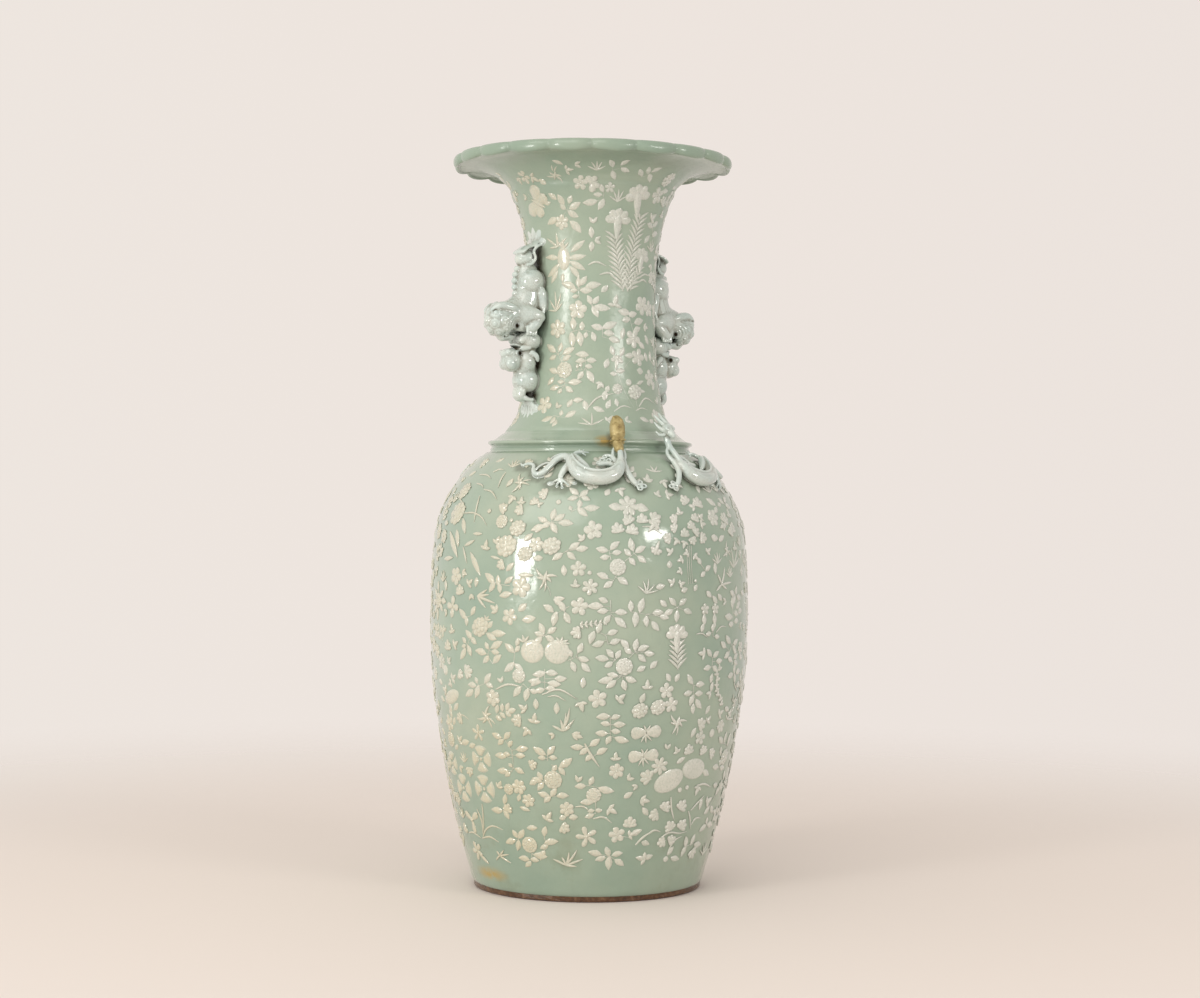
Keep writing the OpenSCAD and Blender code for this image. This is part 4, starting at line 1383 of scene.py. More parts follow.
    def cream(self, points):
        """More yellow towards the lower left and the left edge; whitest on the right."""
        phi = np.degrees(np.arctan2(points[:, 0], -points[:, 1]))
        z = points[:, 2]
        left = np.clip((-phi - 22) / 45, 0, 1) * (np.abs(phi) < 150)
        low = np.clip((190 - z) / 60, 0, 1) * np.clip((10 - phi) / 30, 0, 1)
        return np.clip(0.45 * left * (z > 190) + 0.8 * low * (0.5 + 0.5 * left) + 0.25 * left, 0, 1)

    def build(self, name):
        points = np.concatenate(self.points)
        piece(name, points, np.concatenate(self.faces), WHITE_SLIP, (), None,
              {"edge": np.concatenate(self.marks), "cream": self.cream(points)})


# What the filler lays: {kind: (its share, the room it needs in millimetres)}
KINDS = {"rose": (0.11, 13.5), "sprig": (0.34, 11), "star": (0.12, 6.4), "lobed": (0.09, 5.0),
         "leaf": (0.13, 3.1), "pair": (0.06, 4.6), "tuft": (0.07, 7), "bird": (0.03, 8),
         "trio": (0.05, 4.6)}
MOST_MISSES = 700


def fill(slip, low, high, gap, seed):
    """Fills what is free between two heights with small seeded sprigs, flowers, leaves and tufts."""
    draw = np.random.default_rng(seed)
    taken = np.array(slip.taken or [(0, -999, 1)])
    misses = 0
    while misses < MOST_MISSES:
        phi, z = draw.uniform(-180, 180), draw.uniform(low, high)
        kind = draw.choice(list(KINDS), p=[share for share, _ in KINDS.values()])
        room = KINDS[kind][1]
        turn = draw.uniform(0, 360)
        size = draw.uniform(0.88, 1.12)
        _, r = slip.place((phi, z))
        across = (taken[:, 0] - phi + 180) % 360 - 180
        away = np.hypot(np.radians(across) * r, taken[:, 1] - z) - taken[:, 2] - room * 0.74
        if away.min() < gap or not low + room * 0.7 < z < high - room * 0.7:
            misses += 1
            continue
        misses = max(misses - 12, 0)
        before = len(slip.taken)
        spot = (phi, z)

        def leaves_round(count, near_r, far_r):
            out = []
            for k in range(count):
                e = 360 * (k + draw.uniform(-0.2, 0.2)) / count
                d = near_r if k % 2 else far_r
                out.append((*slip.polar(spot, d, e), draw.uniform(0.75, 1.15)))
            return out

        if kind == "rose":
            slip.rose(spot, 5.4 * size)
            slip.sprig([spot], leaves_round(8, 9.0, 11.5), 6.2, 1.7)
        elif kind == "sprig":
            e = math.radians(turn)
            way, side = (math.cos(e), math.sin(e)), (-math.sin(e), math.cos(e))
            bow = draw.uniform(-2.6, 2.6)

            def beside(x, y):
                y += bow * (1 - (x / 7.5) ** 2)
                return slip.offset(spot, x * way[0] + y * side[0], x * way[1] + y * side[1])

            slip.stem([beside(-7.5, 0), beside(0, 0), beside(7.0, 0)])
            for k in range(3):
                for s in (-1, 1):
                    x = (k - 1) * 5.0 + 1.1 * s + draw.uniform(-0.8, 0.8)
                    lean = draw.uniform(34, 66)
                    grow = draw.uniform(0.78, 1.08)
                    place = beside(x + 2.2, s * 3.5 * grow)
                    slip.leaf(place, turn + s * lean, 5.8 * grow, 1.65, 0.06 * s)
            if draw.uniform() < 0.4:
                slip.star(beside(9.0, 0), 3.9, 5, turn)
            else:
                slip.leaf(beside(9.4, 0), turn + draw.uniform(-15, 15), 6.4, 1.8)
        elif kind == "star":
            slip.star(spot, 5.6 * size, int(draw.integers(5, 7)), turn)
        elif kind == "lobed":
            slip.lobed(spot, turn, 5.8 * size, int(draw.choice([3, 5])))
        elif kind == "leaf":
            slip.leaf(spot, turn, 6.6 * size, 1.8)
        elif kind == "pair":
            slip.lobed(spot, turn, 6.0 * size, 2, 70)
        elif kind == "trio":
            slip.lobed(spot, turn, 6.0 * size, 3, 110)
        elif kind == "tuft":
            tips = [slip.offset(spot, 7.5 * size * math.sin(a), 9 * size * math.cos(a) - 3)
                    for a in (-1.15, -0.55, 0.0, 0.5, 1.1)]
            slip.tuft(slip.offset(spot, 0, -3.5), tips, 0.75)
        else:
            slip.swallow(spot, turn, 7.5 * size)
        slip.taken.append((phi, z, room * 0.70))
        taken = np.concatenate([taken, np.array(slip.taken[before:])])


def lay(draw, motifs):
    """Draws one kind of motif with each set of values."""
    for values in motifs:
        draw(*values)


def body_front(s):
    """What the photograph shows on the body, from the left edge to the right, by height."""
    # under the collar
    lay(s.peony, [
        ((-90.5, 306), 9.5), ((-92.5, 324), 7), ((-62, 281), 8.8), ((-45, 281.5), 7), ((-58, 295), 6.5),
        ((-54.5, 275), 6)
    ])
    lay(s.blade, [
        ([(-86, 306), (-80, 306.5), (-75, 303), (-71.5, 296)], 0.75),
        ([(-79, 325), (-74, 323), (-69.8, 316)], 0.75), ([(-86, 330), (-82, 328.5), (-80, 326)], 0.75),
        ([(-88, 337), (-82, 336.5), (-78, 333)], 0.75), ([(-79, 339), (-76, 342), (-73, 341)], 0.75),
        ([(-79.9, 320), (-79, 308), (-78.3, 297)], 0.75), ([(-71.3, 339), (-71.8, 332), (-71.5, 324)], 0.75),
        ([(-94, 318), (-90, 314), (-87, 309)], 0.75), ([(-13, 297), (-9.5, 296.5), (-5.5, 291)], 0.7)
    ])
    s.swallow((-61.5, 330.5), 180, 8)
    lay(s.lobed, [
        ((-63, 317), 250, 6, 3), ((-58.5, 316.5), 90, 5, 3), ((-58.5, 309), 200, 6, 5),
        ((-53, 316), 100, 5, 5), ((-50, 322), 170, 6, 5), ((-50.5, 314), 20, 4, 3),
        ((-18, 302.5), 120, 6.4, 5), ((-22, 295.5), 100, 6.6, 5), ((-16.7, 294.5), 80, 6.6, 5),
        ((-12.7, 303), 90, 6.2, 5), ((-7.5, 303.5), 20, 7, 5), ((0.5, 322), 0, 5.6, 3),
        ((-4.5, 323), 60, 4.5, 3), ((13.6, 316), 75, 7, 5), ((10, 313), 160, 5, 3), ((28, 303.5), 60, 7.4, 5),
        ((33, 307.5), 90, 6, 3), ((25, 297), 200, 5, 3), ((33, 296), 80, 6.5, 5), ((-71, 281), 80, 6.4, 3),
        ((-66, 285), 60, 5.5, 3), ((-64, 266), 200, 5.5, 5), ((-78, 251.5), 40, 5.5, 3),
        ((-83.5, 245), 100, 6.6, 5), ((3, 309), 100, 5, 3), ((0, 303), 160, 5.4, 5), ((10, 304), 70, 5.4, 5),
        ((7.4, 298), 90, 5.4, 5), ((13.3, 305), 40, 4.8, 3), ((13.4, 299), 0, 5, 3),
        ((-3.5, 288), 170, 5.6, 5), ((0, 285), 230, 4.8, 3), ((3.4, 283), 250, 4.8, 3),
        ((7.4, 286), 290, 5.2, 5), ((12.5, 288), 350, 6, 5), ((4, 292), 90, 5.6, 5), ((9.4, 293), 40, 5.2, 5),
        ((-0.5, 296), 150, 5, 5), ((4, 276), 200, 4.4, 3), ((-3, 278), 140, 5, 3), ((1.5, 271), 200, 4.6, 3),
        ((8.5, 273), 320, 4.6, 3), ((15, 278), 40, 4.6, 3), ((1, 262), 200, 4.2, 3), ((-2.5, 254), 150, 5, 3),
        ((2, 252.5), 20, 4.6, 3), ((-22.3, 296.5), 90, 4, 3), ((-36.5, 252.5), 90, 5, 3),
        ((31, 293), 60, 6, 5), ((33, 281), 90, 5.4, 3)
    ])
    s.rose((-65, 300), 4.8)
    lay(s.disc, [
        ((-71.8, 308), 2.0), ((-43.5, 315.5), 2.2), ((-61, 301), 1.7), ((-31.7, 261), 1.8), ((8, 254.5), 1.4),
        ((21, 132.5), 3.6)
    ])
    lay(s.sprig, [
        ([(-35.5, 320)], [(-38, 324, 0.9), (-34, 322.8, 0.8), (-38.3, 318.5, 0.8), (-33.3, 318.3, 0.7),
        (-35.7, 314, 0.7)]), ([(-38.6, 308), (-36, 311)], [(-31, 311.5, 1.1), (-34.4, 308, 1.0),
        (-38.8, 311, 0.4)]), ([(-45.5, 299.5)], [(-45, 306, 0.9), (-42.6, 303.7, 0.9), (-48.8, 302.2, 0.8),
        (-47.3, 297.3, 0.8), (-40.2, 299, 1.1), (-44.3, 295.3, 0.9), (-50.3, 295.3, 1.1)]),
        ([(25, 313)], [(22, 316.5, 1.1), (27.8, 314.6, 0.6), (23.5, 310.2, 0.7)]),
        ([(32.6, 315)], [(30.6, 317.6, 0.8), (35, 318.2, 0.8), (35.2, 313, 0.9)]), ([(-60, 250),
        (-66.5, 251)], [(-68.6, 255, 1.2), (-64.8, 253.8, 0.8), (-67.3, 248.4, 0.9), (-64.3, 247.6, 0.7)])
    ])
    lay(s.star, [
        ((-30.5, 294), 6.6, 5, 100), ((-17.5, 313), 7.2, 7, 90, 0.26), ((-55.8, 249), 7, 5, 70, 0.36),
        ((-86.3, 256), 6.4, 5, 60, 0.36)
    ])
    lay(s.leaf, [
        ((-22.4, 312.3), 175, 8, 2.6), ((-12.3, 311.5), -18, 8.5, 2.8), ((-25, 323.5), 60, 5.4, 1.8),
        ((-89.5, 281), -52, 20, 2.4), ((-84, 296), -60, 11, 2.0), ((-87, 286), -70, 11, 2.2),
        ((-92.5, 269.8), 6, 12, 1.5), ((-79.3, 282.6), 22, 10, 1.2), ((-81.5, 273), -65, 11, 0.8),
        ((-75.6, 266), -55, 17, 2.0), ((-75.5, 290), 0, 8, 1.1), ((-66.3, 271.5), -12, 8, 0.9),
        ((-50, 295), 60, 6, 1.8), ((19, 288), -8, 7, 2.2), ((-3, 267.5), 90, 4.4, 1.9),
        ((3, 247.5), 20, 5, 1.8), ((8, 249), 60, 4.6, 1.6), ((-42, 240.5), 10, 7, 1.7),
        ((-27, 240), 160, 6, 1.8), ((-54, 258.5), 0, 10, 1.5), ((-61.6, 243), 12, 9, 2.0)
    ])
    s.lily((-8.5, 298.5), 50, 6.5)
    lay(s.tuft, [
        ((-3, 340), [(-3.5, 346.5), (0, 346), (1.4, 341), (-6.5, 343)], 0.8),
        ((-74, 241), [(-69.5, 246.5), (-68.5, 242.5), (-66, 236), (-70, 232)], 1.2)
    ])
    # middle band, left to right
    lay(s.sprig, [
        ([(-47, 212)], [(-44.3, 216, 0.8), (-48, 217.3, 0.9), (-49, 213.4, 0.7), (-45, 209.3, 0.8),
        (-49.6, 208, 0.9)]), ([(-38.5, 235), (-43, 229)], [(-45.7, 233, 0.9), (-41.2, 235, 0.9),
        (-42.4, 239, 0.8), (-43.4, 225, 1.1), (-39, 226, 0.9)]), ([(-39.8, 277.5)], [(-42.8, 273, 0.9),
        (-37, 281.7, 0.9), (-34.3, 279.5, 0.9), (-38, 274, 0.8)]), ([(-24.4, 271), (-25, 278)],
        [(-27.5, 279, 0.9), (-23, 282, 0.9), (-22.3, 276.7, 0.7), (-26.6, 273.3, 0.7)]), ([(-19.5, 270),
        (-16.3, 276)], [(-17, 283, 1.0), (-18.5, 277.2, 0.7), (-13.9, 279, 0.9), (-17, 269.6, 0.7),
        (-13.5, 271.5, 0.8)]), ([(-22.5, 259), (-23.5, 255)], [(-27.3, 258.5, 0.9), (-25.4, 252, 0.8),
        (-20.3, 254.5, 0.9)]),
        ([(11, 267), (13, 262)], [(10, 270, 0.6), (14.4, 264, 0.7), (11.6, 259.6, 0.6)]), ([(32.5, 241)],
        [(29.7, 243.5, 0.9), (35.4, 240, 0.9), (33, 245.5, 0.7), (31, 237.5, 0.9)])
    ])
    lay(s.star, [
        ((-31, 293), 4.6, 6, 0), ((-35.5, 264), 5.4, 5, 90), ((-31.5, 250), 5.6, 6, 20, 0.26)
    ])
    s.rose((-22, 265.5), 5.8)
    lay(s.tuft, [
        ((-12, 245), [(-15, 251), (-13.2, 255), (-11.2, 256.5), (-8.8, 252), (-7.6, 247.5)], 0.8), ((22, 251),
        [(19.6, 259), (24.2, 264.5), (29, 252.5), (18.7, 246), (25.5, 247)], 1.1),
        ((31, 264), [(29.6, 279.5), (36.5, 271.5), (27.5, 270), (35, 279)], 1.0)
    ])
    s.lily((-8, 279), 250, 6)
    s.swallow((-47, 257), 75, 9)
    s.stem([(-47, 252), (-45.5, 248), (-45, 243)], 0.4)
    s.leaf((27, 298), 40, 5.5, 1.7)
    for x in (4.7, 5.6, 6.5):
        s.stem([(x, 282), (x - 0.2, 268), (x + 0.2, 252)], 0.4)
    # the row of fruit and flowers at the widest part
    lay(s.fruit, [
        ((-42.6, 199.5), 10.2, 9.4, 0, 5), ((-51.4, 199.5), 9.8, 9.2, 0, 5)
    ])
    lay(s.tuft, [
        ((-41.5, 206.5), [(-43, 211), (-40.7, 211.5), (-38.7, 209), (-38.2, 206.2)], 1.1),
        ((-54.5, 206.5), [(-57, 209.5), (-55, 212), (-52.6, 211.5)], 1.1)
    ])
    lay(s.sprig, [
        ([(-38.8, 193), (-36, 196)], [(-34.8, 203, 0.8), (-38.2, 199, 0.6), (-33.4, 194.5, 0.8),
        (-37, 188.3, 0.8), (-32.6, 188, 0.9)]), ([(-25.3, 206), (-26.3, 213), (-30.5, 216)],
        [(-28.2, 218.6, 0.8), (-30.6, 211, 1.0), (-23.7, 215, 0.8), (-28.7, 206.5, 0.9), (-22.8, 208, 0.8)]),
        ([(-24.5, 240), (-24.3, 229)], [(-29.7, 235, 1.15), (-27.2, 231.5, 0.8), (-20.8, 230.3, 0.9),
        (-25.6, 224.5, 0.8), (-21, 222.5, 1.1)]), ([(-17.5, 231), (-12, 229)], [(-16, 225, 1.1),
        (-13.6, 236, 1.1), (-17.6, 235.5, 0.8), (-7.6, 230, 0.9), (-5.2, 226.4, 0.8), (-8.5, 219.8, 0.9),
        (-11.8, 223.4, 0.8)]), ([(-22.6, 193.6)], [(-27.3, 194.7, 1.0), (-24.6, 198.7, 0.8),
        (-21.6, 198, 0.7), (-25, 190.3, 0.7)]), ([(-18, 195), (-15.8, 200)], [(-19.6, 206, 0.9),
        (-15.4, 205.4, 0.9), (-18.4, 201.2, 0.7), (-12.8, 202.5, 0.9), (-10.6, 198.6, 0.8),
        (-13.2, 195, 0.8)]), ([(-20.3, 181.5)], [(-26, 178.4, 1.1), (-23.6, 182.4, 0.8), (-24, 174.8, 0.9),
        (-17, 178.7, 0.9), (-19.3, 174, 0.8)]), ([(-47, 186), (-47, 168)], [(-49, 182.5, 1.0),
        (-44.4, 183, 0.9), (-41.3, 179, 0.9), (-50.6, 176, 1.0), (-43.6, 175, 1.0), (-45, 171, 0.7),
        (-49, 169.6, 0.8)]), ([(0, 234)], [(-2, 238.4, 0.8), (2.4, 238, 0.8), (-3.6, 230.5, 0.8),
        (4.4, 230.5, 0.8), (-0.3, 227, 0.9)]), ([(17, 210), (16.5, 215)], [(14.4, 212.5, 0.6),
        (19.2, 209.6, 0.6), (17.5, 219, 0.5)]), ([(17, 186), (17, 193)], [(15, 197.2, 0.8), (19, 195.6, 0.8),
        (21, 190.5, 0.8), (14.4, 185, 0.8), (18.8, 184, 0.8)]), ([(8, 172), (8.4, 164)], [(6.4, 177.4, 0.9),
        (11.2, 172.4, 0.9), (5.6, 166.4, 0.8), (11, 165.4, 0.8), (7.8, 160.4, 0.9), (11.3, 157.3, 1.0),
        (8.8, 153.6, 0.8)]), ([(28, 197), (29.5, 202)], [(26.7, 207, 1.0), (23.4, 203, 0.9),
        (32.7, 204.4, 0.9), (31.6, 199.6, 0.7), (26, 194.4, 0.9), (32.5, 197, 0.8)]), ([(30.5, 186),
        (31, 190)], [(28.6, 190.4, 0.8), (33.4, 192.6, 0.8), (33.6, 187, 0.8)]), ([(30, 218), (30, 227)],
        [(26.7, 225, 1.2), (32.8, 226.7, 0.8), (36.6, 228.4, 0.9), (28.4, 219, 0.8), (33, 221, 0.8),
        (29.6, 236, 0.9), (34.6, 234, 0.9)]), ([(33, 178.5)], [(29.8, 177.5, 0.9), (33, 182.4, 0.8),
        (36.6, 179.6, 0.9), (33.6, 174.6, 0.8)])
    ])
    lay(s.fern, [
        ([(-34.8, 220.5), (-25, 223.3)], 6, 3.2, 0.75, 55), ([(0.6, 186), (0.2, 206)], 5, 10, 0.95, 48)
    ])
    s.rose((-19.5, 188.5), 6)
    lay(s.blade, [
        ([(-48, 166), (-42, 170.5), (-35.5, 163)], 0.8), ([(-46, 164.5), (-43, 165.5), (-39.5, 161.5)], 0.6),
        ([(-66, 168.5), (-61, 173), (-55, 171.5)], 0.9), ([(8.3, 212.5), (11, 213), (14, 209.5)], 0.6),
        ([(18.5, 213), (21.5, 217.5), (25, 217)], 0.6), ([(33.6, 171), (35, 168), (37.5, 163.5)], 0.8)
    ])
    lay(s.star, [
        ((-28.5, 163.5), 6.4, 5, 100), ((-3.5, 169), 5.6, 5, 90)
    ])
    lay(s.lobed, [
        ((-11, 174), 90, 6, 3), ((-88.5, 213.5), 100, 6, 3), ((-91.5, 200), 90, 6.6, 5),
        ((-86, 202), 30, 6, 3), ((-79, 181), 10, 7.4, 5), ((-88, 175), 30, 6, 3), ((-91, 169.5), 200, 5, 3),
        ((-58, 145), 180, 6.6, 5), ((-54.6, 136), 230, 6, 3), ((-51.2, 147), 80, 6.6, 3),
        ((-86.5, 142.5), 190, 6, 5), ((-88, 125.5), 40, 6, 3), ((-21.5, 118), 90, 5.4, 3),
        ((-9, 101.5), 150, 8, 5), ((14, 141), 25, 7, 5), ((17.8, 144), 50, 5, 3), ((9, 121), 100, 6.4, 5),
        ((3, 121.5), 120, 4.8, 3), ((17, 119.5), 110, 6, 5), ((23, 116), 20, 6, 5), ((-14.3, 65), 90, 7, 5),
        ((-13, 55.5), 20, 5.4, 3), ((-22, 75), 330, 6.6, 3), ((9.5, 76), 60, 7.2, 5),
        ((4.6, 60), 120, 6.8, 5), ((11.4, 60), 60, 7.2, 5), ((1.5, 47.5), 200, 6, 5), ((6.7, 48.5), 30, 6, 5),
        ((22.7, 34.5), 300, 6.8, 5), ((27, 76.5), 30, 7, 3), ((-47.5, 69.5), 60, 6.6, 3),
        ((-41, 60.5), 330, 6, 5), ((-65.5, 74), 70, 5.6, 5), ((-4, 70), 200, 6.6, 5), ((1, 76.5), 60, 6.6, 5),
        ((17, 87), 250, 6, 3), ((33, 147), 60, 5.5, 3), ((36.5, 87), 80, 6, 5), ((-96, 164), 160, 6, 3)
    ])
    s.lily((0, 212.5), 90, 12)
    s.stem([(21.6, 188), (20, 178), (21, 166), (25, 154)], 0.4)
    lay(s.leaf, [
        ((17, 177), 80, 6, 1.8), ((-3, 179.5), 120, 5.4, 1.8), ((0.6, 179), 60, 5.4, 1.8)
    ])
    for x, z in ((12.5, 232), (18, 232)):
        s.star((x, z), 4.0, 5, 90)
        s.leaf((x - 0.4, z - 8), 95, 6.5, 2.0)
        s.leaf((x - 1.2, z - 14.5), 70, 5.5, 1.7)
        s.stem([(x, z - 3), (x - 0.2, z - 11), (x - 1, z - 19)], 0.4)
    for k, (x, z) in enumerate(((21.4, 185), (19.8, 181), (20.6, 176.6), (20.2, 172.4), (20.6, 168.2),
                                (21.6, 164.4), (23.6, 160.6), (24.8, 156.4))):
        s.lobed((x, z), 110 - 20 * (k % 2), 4.2, 3)
    # left edge at the widest part
    lay(s.star, [
        ((-88, 231.5), 7.6, 4, 80, 0.28), ((-60, 226), 5.8, 5, 60)
    ])
    lay(s.sprig, [
        ([(-80, 223.5), (-77, 225.5)], [(-81.6, 226.4, 1.1), (-75.9, 229.3, 0.8), (-79.4, 220.8, 0.7)]),
        ([(-70.5, 213)], [(-68, 219, 0.7), (-67.4, 209.8, 1.0), (-64.4, 212.8, 1.2)]), ([(-76, 214),
        (-79, 202)], [(-78.2, 210.6, 0.9), (-75.7, 206, 0.8), (-80.8, 205.4, 0.6), (-81, 201, 0.5),
        (-81.5, 194.6, 1.1), (-78, 197.6, 0.9)]), ([(-67, 188.5), (-69, 194), (-68.6, 199.5)],
        [(-72.4, 197, 1.1), (-65.2, 203.5, 1.15), (-69.4, 202.5, 0.6), (-65.8, 197.8, 0.7), (-70, 191.7, 0.8),
        (-65, 192.4, 1.0)]), ([(-58.4, 190), (-58, 198)], [(-60, 201.5, 1.0), (-57, 206.5, 0.6),
        (-56.9, 201.2, 0.6), (-60.2, 186.6, 1.1), (-56.4, 187, 0.8)]), ([(-55, 174), (-53, 170)],
        [(-50.4, 176, 0.9), (-57.3, 167.6, 1.0), (-53.6, 165.4, 1.0), (-51, 168.6, 0.6)]), ([(-74, 170),
        (-71, 172.5)], [(-69.4, 176.8, 1.0), (-68.8, 171, 0.7), (-77.3, 170.2, 0.9), (-75, 174.6, 0.5),
        (-74.9, 165.6, 1.1), (-79, 163.8, 1.1)])
    ])
    s.peony((-72.5, 217), 8)
    s.tuft((-70, 222.5), [(-70.4, 226.5), (-68.5, 226), (-67.6, 223)], 0.9)
    s.disc((-94, 180), 4.2)
    s.rose((-56.5, 180), 5.0)
    lay(s.leaf, [
        ((-52.6, 224.5), 10, 9, 2.4), ((-55, 233.5), 40, 7, 2.2)
    ])
    # lower left: medallions, birds and flowers
    s.fruit((-91, 159), 13, 5.6, 18, 3)
    lay(s.sprig, [
        ([(-94, 147), (-89.5, 149)], [(-92.6, 150.6, 0.8), (-88, 151.5, 0.9), (-93, 145, 0.8)]), ([(-61, 121),
        (-61, 107)], [(-56.6, 122.6, 1.0), (-57.6, 117, 0.8), (-66.3, 115.6, 1.0), (-63.5, 117.4, 0.6)]),
        ([(-61, 120), (-63.8, 129.5)], [(-67.2, 132, 0.9), (-62.4, 132.4, 0.8), (-65.6, 126.6, 0.7),
        (-61.4, 126, 0.6)]), ([(-61, 107), (-61.6, 104.5)], [(-66, 104, 1.0), (-58.4, 104.8, 0.8),
        (-62.2, 109, 0.4), (-63.8, 101.4, 0.6)]), ([(-32.5, 126), (-30, 118)], [(-35.8, 125.8, 0.9),
        (-33.4, 122.4, 0.8), (-29.3, 129.4, 0.9), (-26.6, 122.2, 0.9), (-31.4, 117, 0.7)]), ([(-24, 150),
        (-23.7, 134)], [(-26.6, 149.5, 1.0), (-22, 149, 0.7), (-25.7, 143.8, 0.7), (-20.6, 143.4, 0.9),
        (-27, 136.6, 0.9), (-21.8, 138, 0.7), (-24.4, 131, 0.7), (-19.5, 131.6, 1.1)]), ([(-46.8, 114),
        (-46.8, 118)], [(-49.8, 121.6, 1.1), (-45.2, 122.2, 0.9), (-49, 116, 0.6), (-44.6, 116.6, 0.6)]),
        ([(-45.5, 111), (-42.8, 108.6)], [(-40, 113, 1.2), (-44.4, 108.4, 0.6), (-41.6, 105.8, 0.7)]),
        ([(-48.6, 97)], [(-51.4, 98.6, 0.8), (-50, 93.4, 0.8), (-50, 102, 0.7)]),
        ([(-31.2, 95)], [(-30.4, 99, 0.7), (-34.6, 94.5, 0.8), (-24.6, 92, 1.2)]), ([(-28.6, 82),
        (-28.4, 73)], [(-32, 81.6, 1.0), (-27.3, 75.5, 0.5), (-30.4, 75, 0.5), (-31, 71, 0.7)]),
        ([(-17, 54), (-14.5, 53)], [(-11, 56.5, 0.9)]), ([(-46, 85.8)], [(-49, 87.2, 0.9), (-44.9, 89.2, 0.8),
        (-41.4, 86.4, 0.9), (-47.6, 83, 0.7)]), ([(-22, 38)], [(-28.5, 40.6, 1.0), (-26, 36, 0.8),
        (-23, 42.2, 0.8), (-18.7, 39.6, 0.8), (-22, 32.4, 1.1), (-17.6, 32.6, 0.9)]), ([(-50, 52), (-49, 46)],
        [(-49.4, 57.5, 0.8), (-47, 48.6, 1.1), (-50.4, 44.8, 0.7), (-51.4, 37.6, 0.9)]), ([(-62, 49.5)],
        [(-63.4, 53.6, 0.7), (-60.3, 54, 0.9), (-66.3, 46.8, 1.0), (-62.7, 44.4, 0.9)]), ([(-56.4, 39),
        (-56.8, 33)], [(-60.6, 33.6, 0.9), (-52.4, 37.4, 1.1), (-55.3, 33.6, 0.7), (-58.8, 29.8, 0.7)]),
        ([(-67.5, 71.5)], [(-71.3, 71.6, 1.1), (-66.6, 68.6, 0.8)])
    ])
    lay(s.blade, [
        ([(-87, 145), (-84, 145.5), (-80.6, 142.5)], 0.6),
        ([(-33, 128.5), (-30.6, 119), (-27.4, 109.5)], 1.1), ([(-36.5, 78), (-33.5, 78.4), (-31, 75)], 0.7),
        ([(-29.5, 68.5), (-25.5, 70), (-21.8, 65)], 0.8), ([(-11, 46.6), (-8, 52.6), (-4.6, 57)], 1.0),
        ([(-83, 47), (-80, 54), (-75, 58.4), (-69.3, 56)], 0.8), ([(-84, 46), (-78, 48.6), (-73, 45)], 0.8),
        ([(-95, 48), (-90, 49.4), (-84.5, 46)], 0.8), ([(-83.6, 70), (-81.6, 60), (-82.6, 48)], 0.8),
        ([(-79.6, 75), (-80, 66), (-81.6, 50)], 0.8)
    ])
    s.swallow((-71.4, 146.6), 132, 9)
    lay(s.star, [
        ((-76.3, 132.6), 6.2, 5, 85, 0.2), ((-21, 106.5), 5.4, 6, 20), ((-32, 54), 7.6, 5, 105, 0.21),
        ((-19.5, 55.4), 5.8, 5, 100), ((-55.6, 81.5), 4.8, 6, 10), ((-89, 60), 10, 3, 30, 0.22),
        ((-90.5, 34.5), 7, 5, 40, 0.26)
    ])
    lay(s.rose, [
        ((-96, 124), 5.5), ((-64, 89.5), 3.9), ((-45, 99), 6.4), ((-29.4, 87.5), 5.2), ((-57, 45.6), 5.8, 12)
    ])
    lay(s.leaf, [
        ((-84.8, 123.6), 12, 9, 2.0), ((-91.8, 118.4), 30, 6, 1.6), ((-52.7, 96.8), 30, 6.6, 1.9),
        ((-41.6, 69), 20, 4.5, 1.8), ((-37.3, 69.6), 5, 5.4, 1.9), ((-55, 59.6), 5, 7, 1.8),
        ((-59.6, 83.4), 70, 5, 1.5), ((-57.4, 74.6), -15, 7, 1.4), ((-85.6, 28.4), -32, 9, 1.3)
    ])
    lay(s.coin, [
        ((-76.4, 111.6), 11.2), ((-76.8, 87.6), 11.8), ((-91.2, 85.4), 11.8), ((-98.5, 104), 10)
    ])
    lay(s.tuft, [
        ((-40.9, 138), [(-44.6, 142), (-41.6, 147), (-39.6, 152.5), (-38.3, 156.5), (-36.6, 147.5),
        (-38, 141.5)], 1.1), ((-41, 30.5), [(-46.8, 35.5), (-42.8, 37.2), (-39.5, 41.6), (-36, 44),
        (-33.6, 36), (-36.4, 29.6)], 1.0), ((-74, 34), [(-76.8, 29.6), (-71, 39.4), (-68.4, 36), (-68, 28.8),
        (-75.4, 37.6)], 0.9)
    ])
    lay(s.lobed, [
        ((-35.8, 134.6), -20, 7, 3, 70), ((-13.6, 93.5), 200, 5.4, 2, 60), ((-35.2, 101), 80, 6.4, 2, 60),
        ((-7.5, 35.4), 170, 7, 3)
    ])
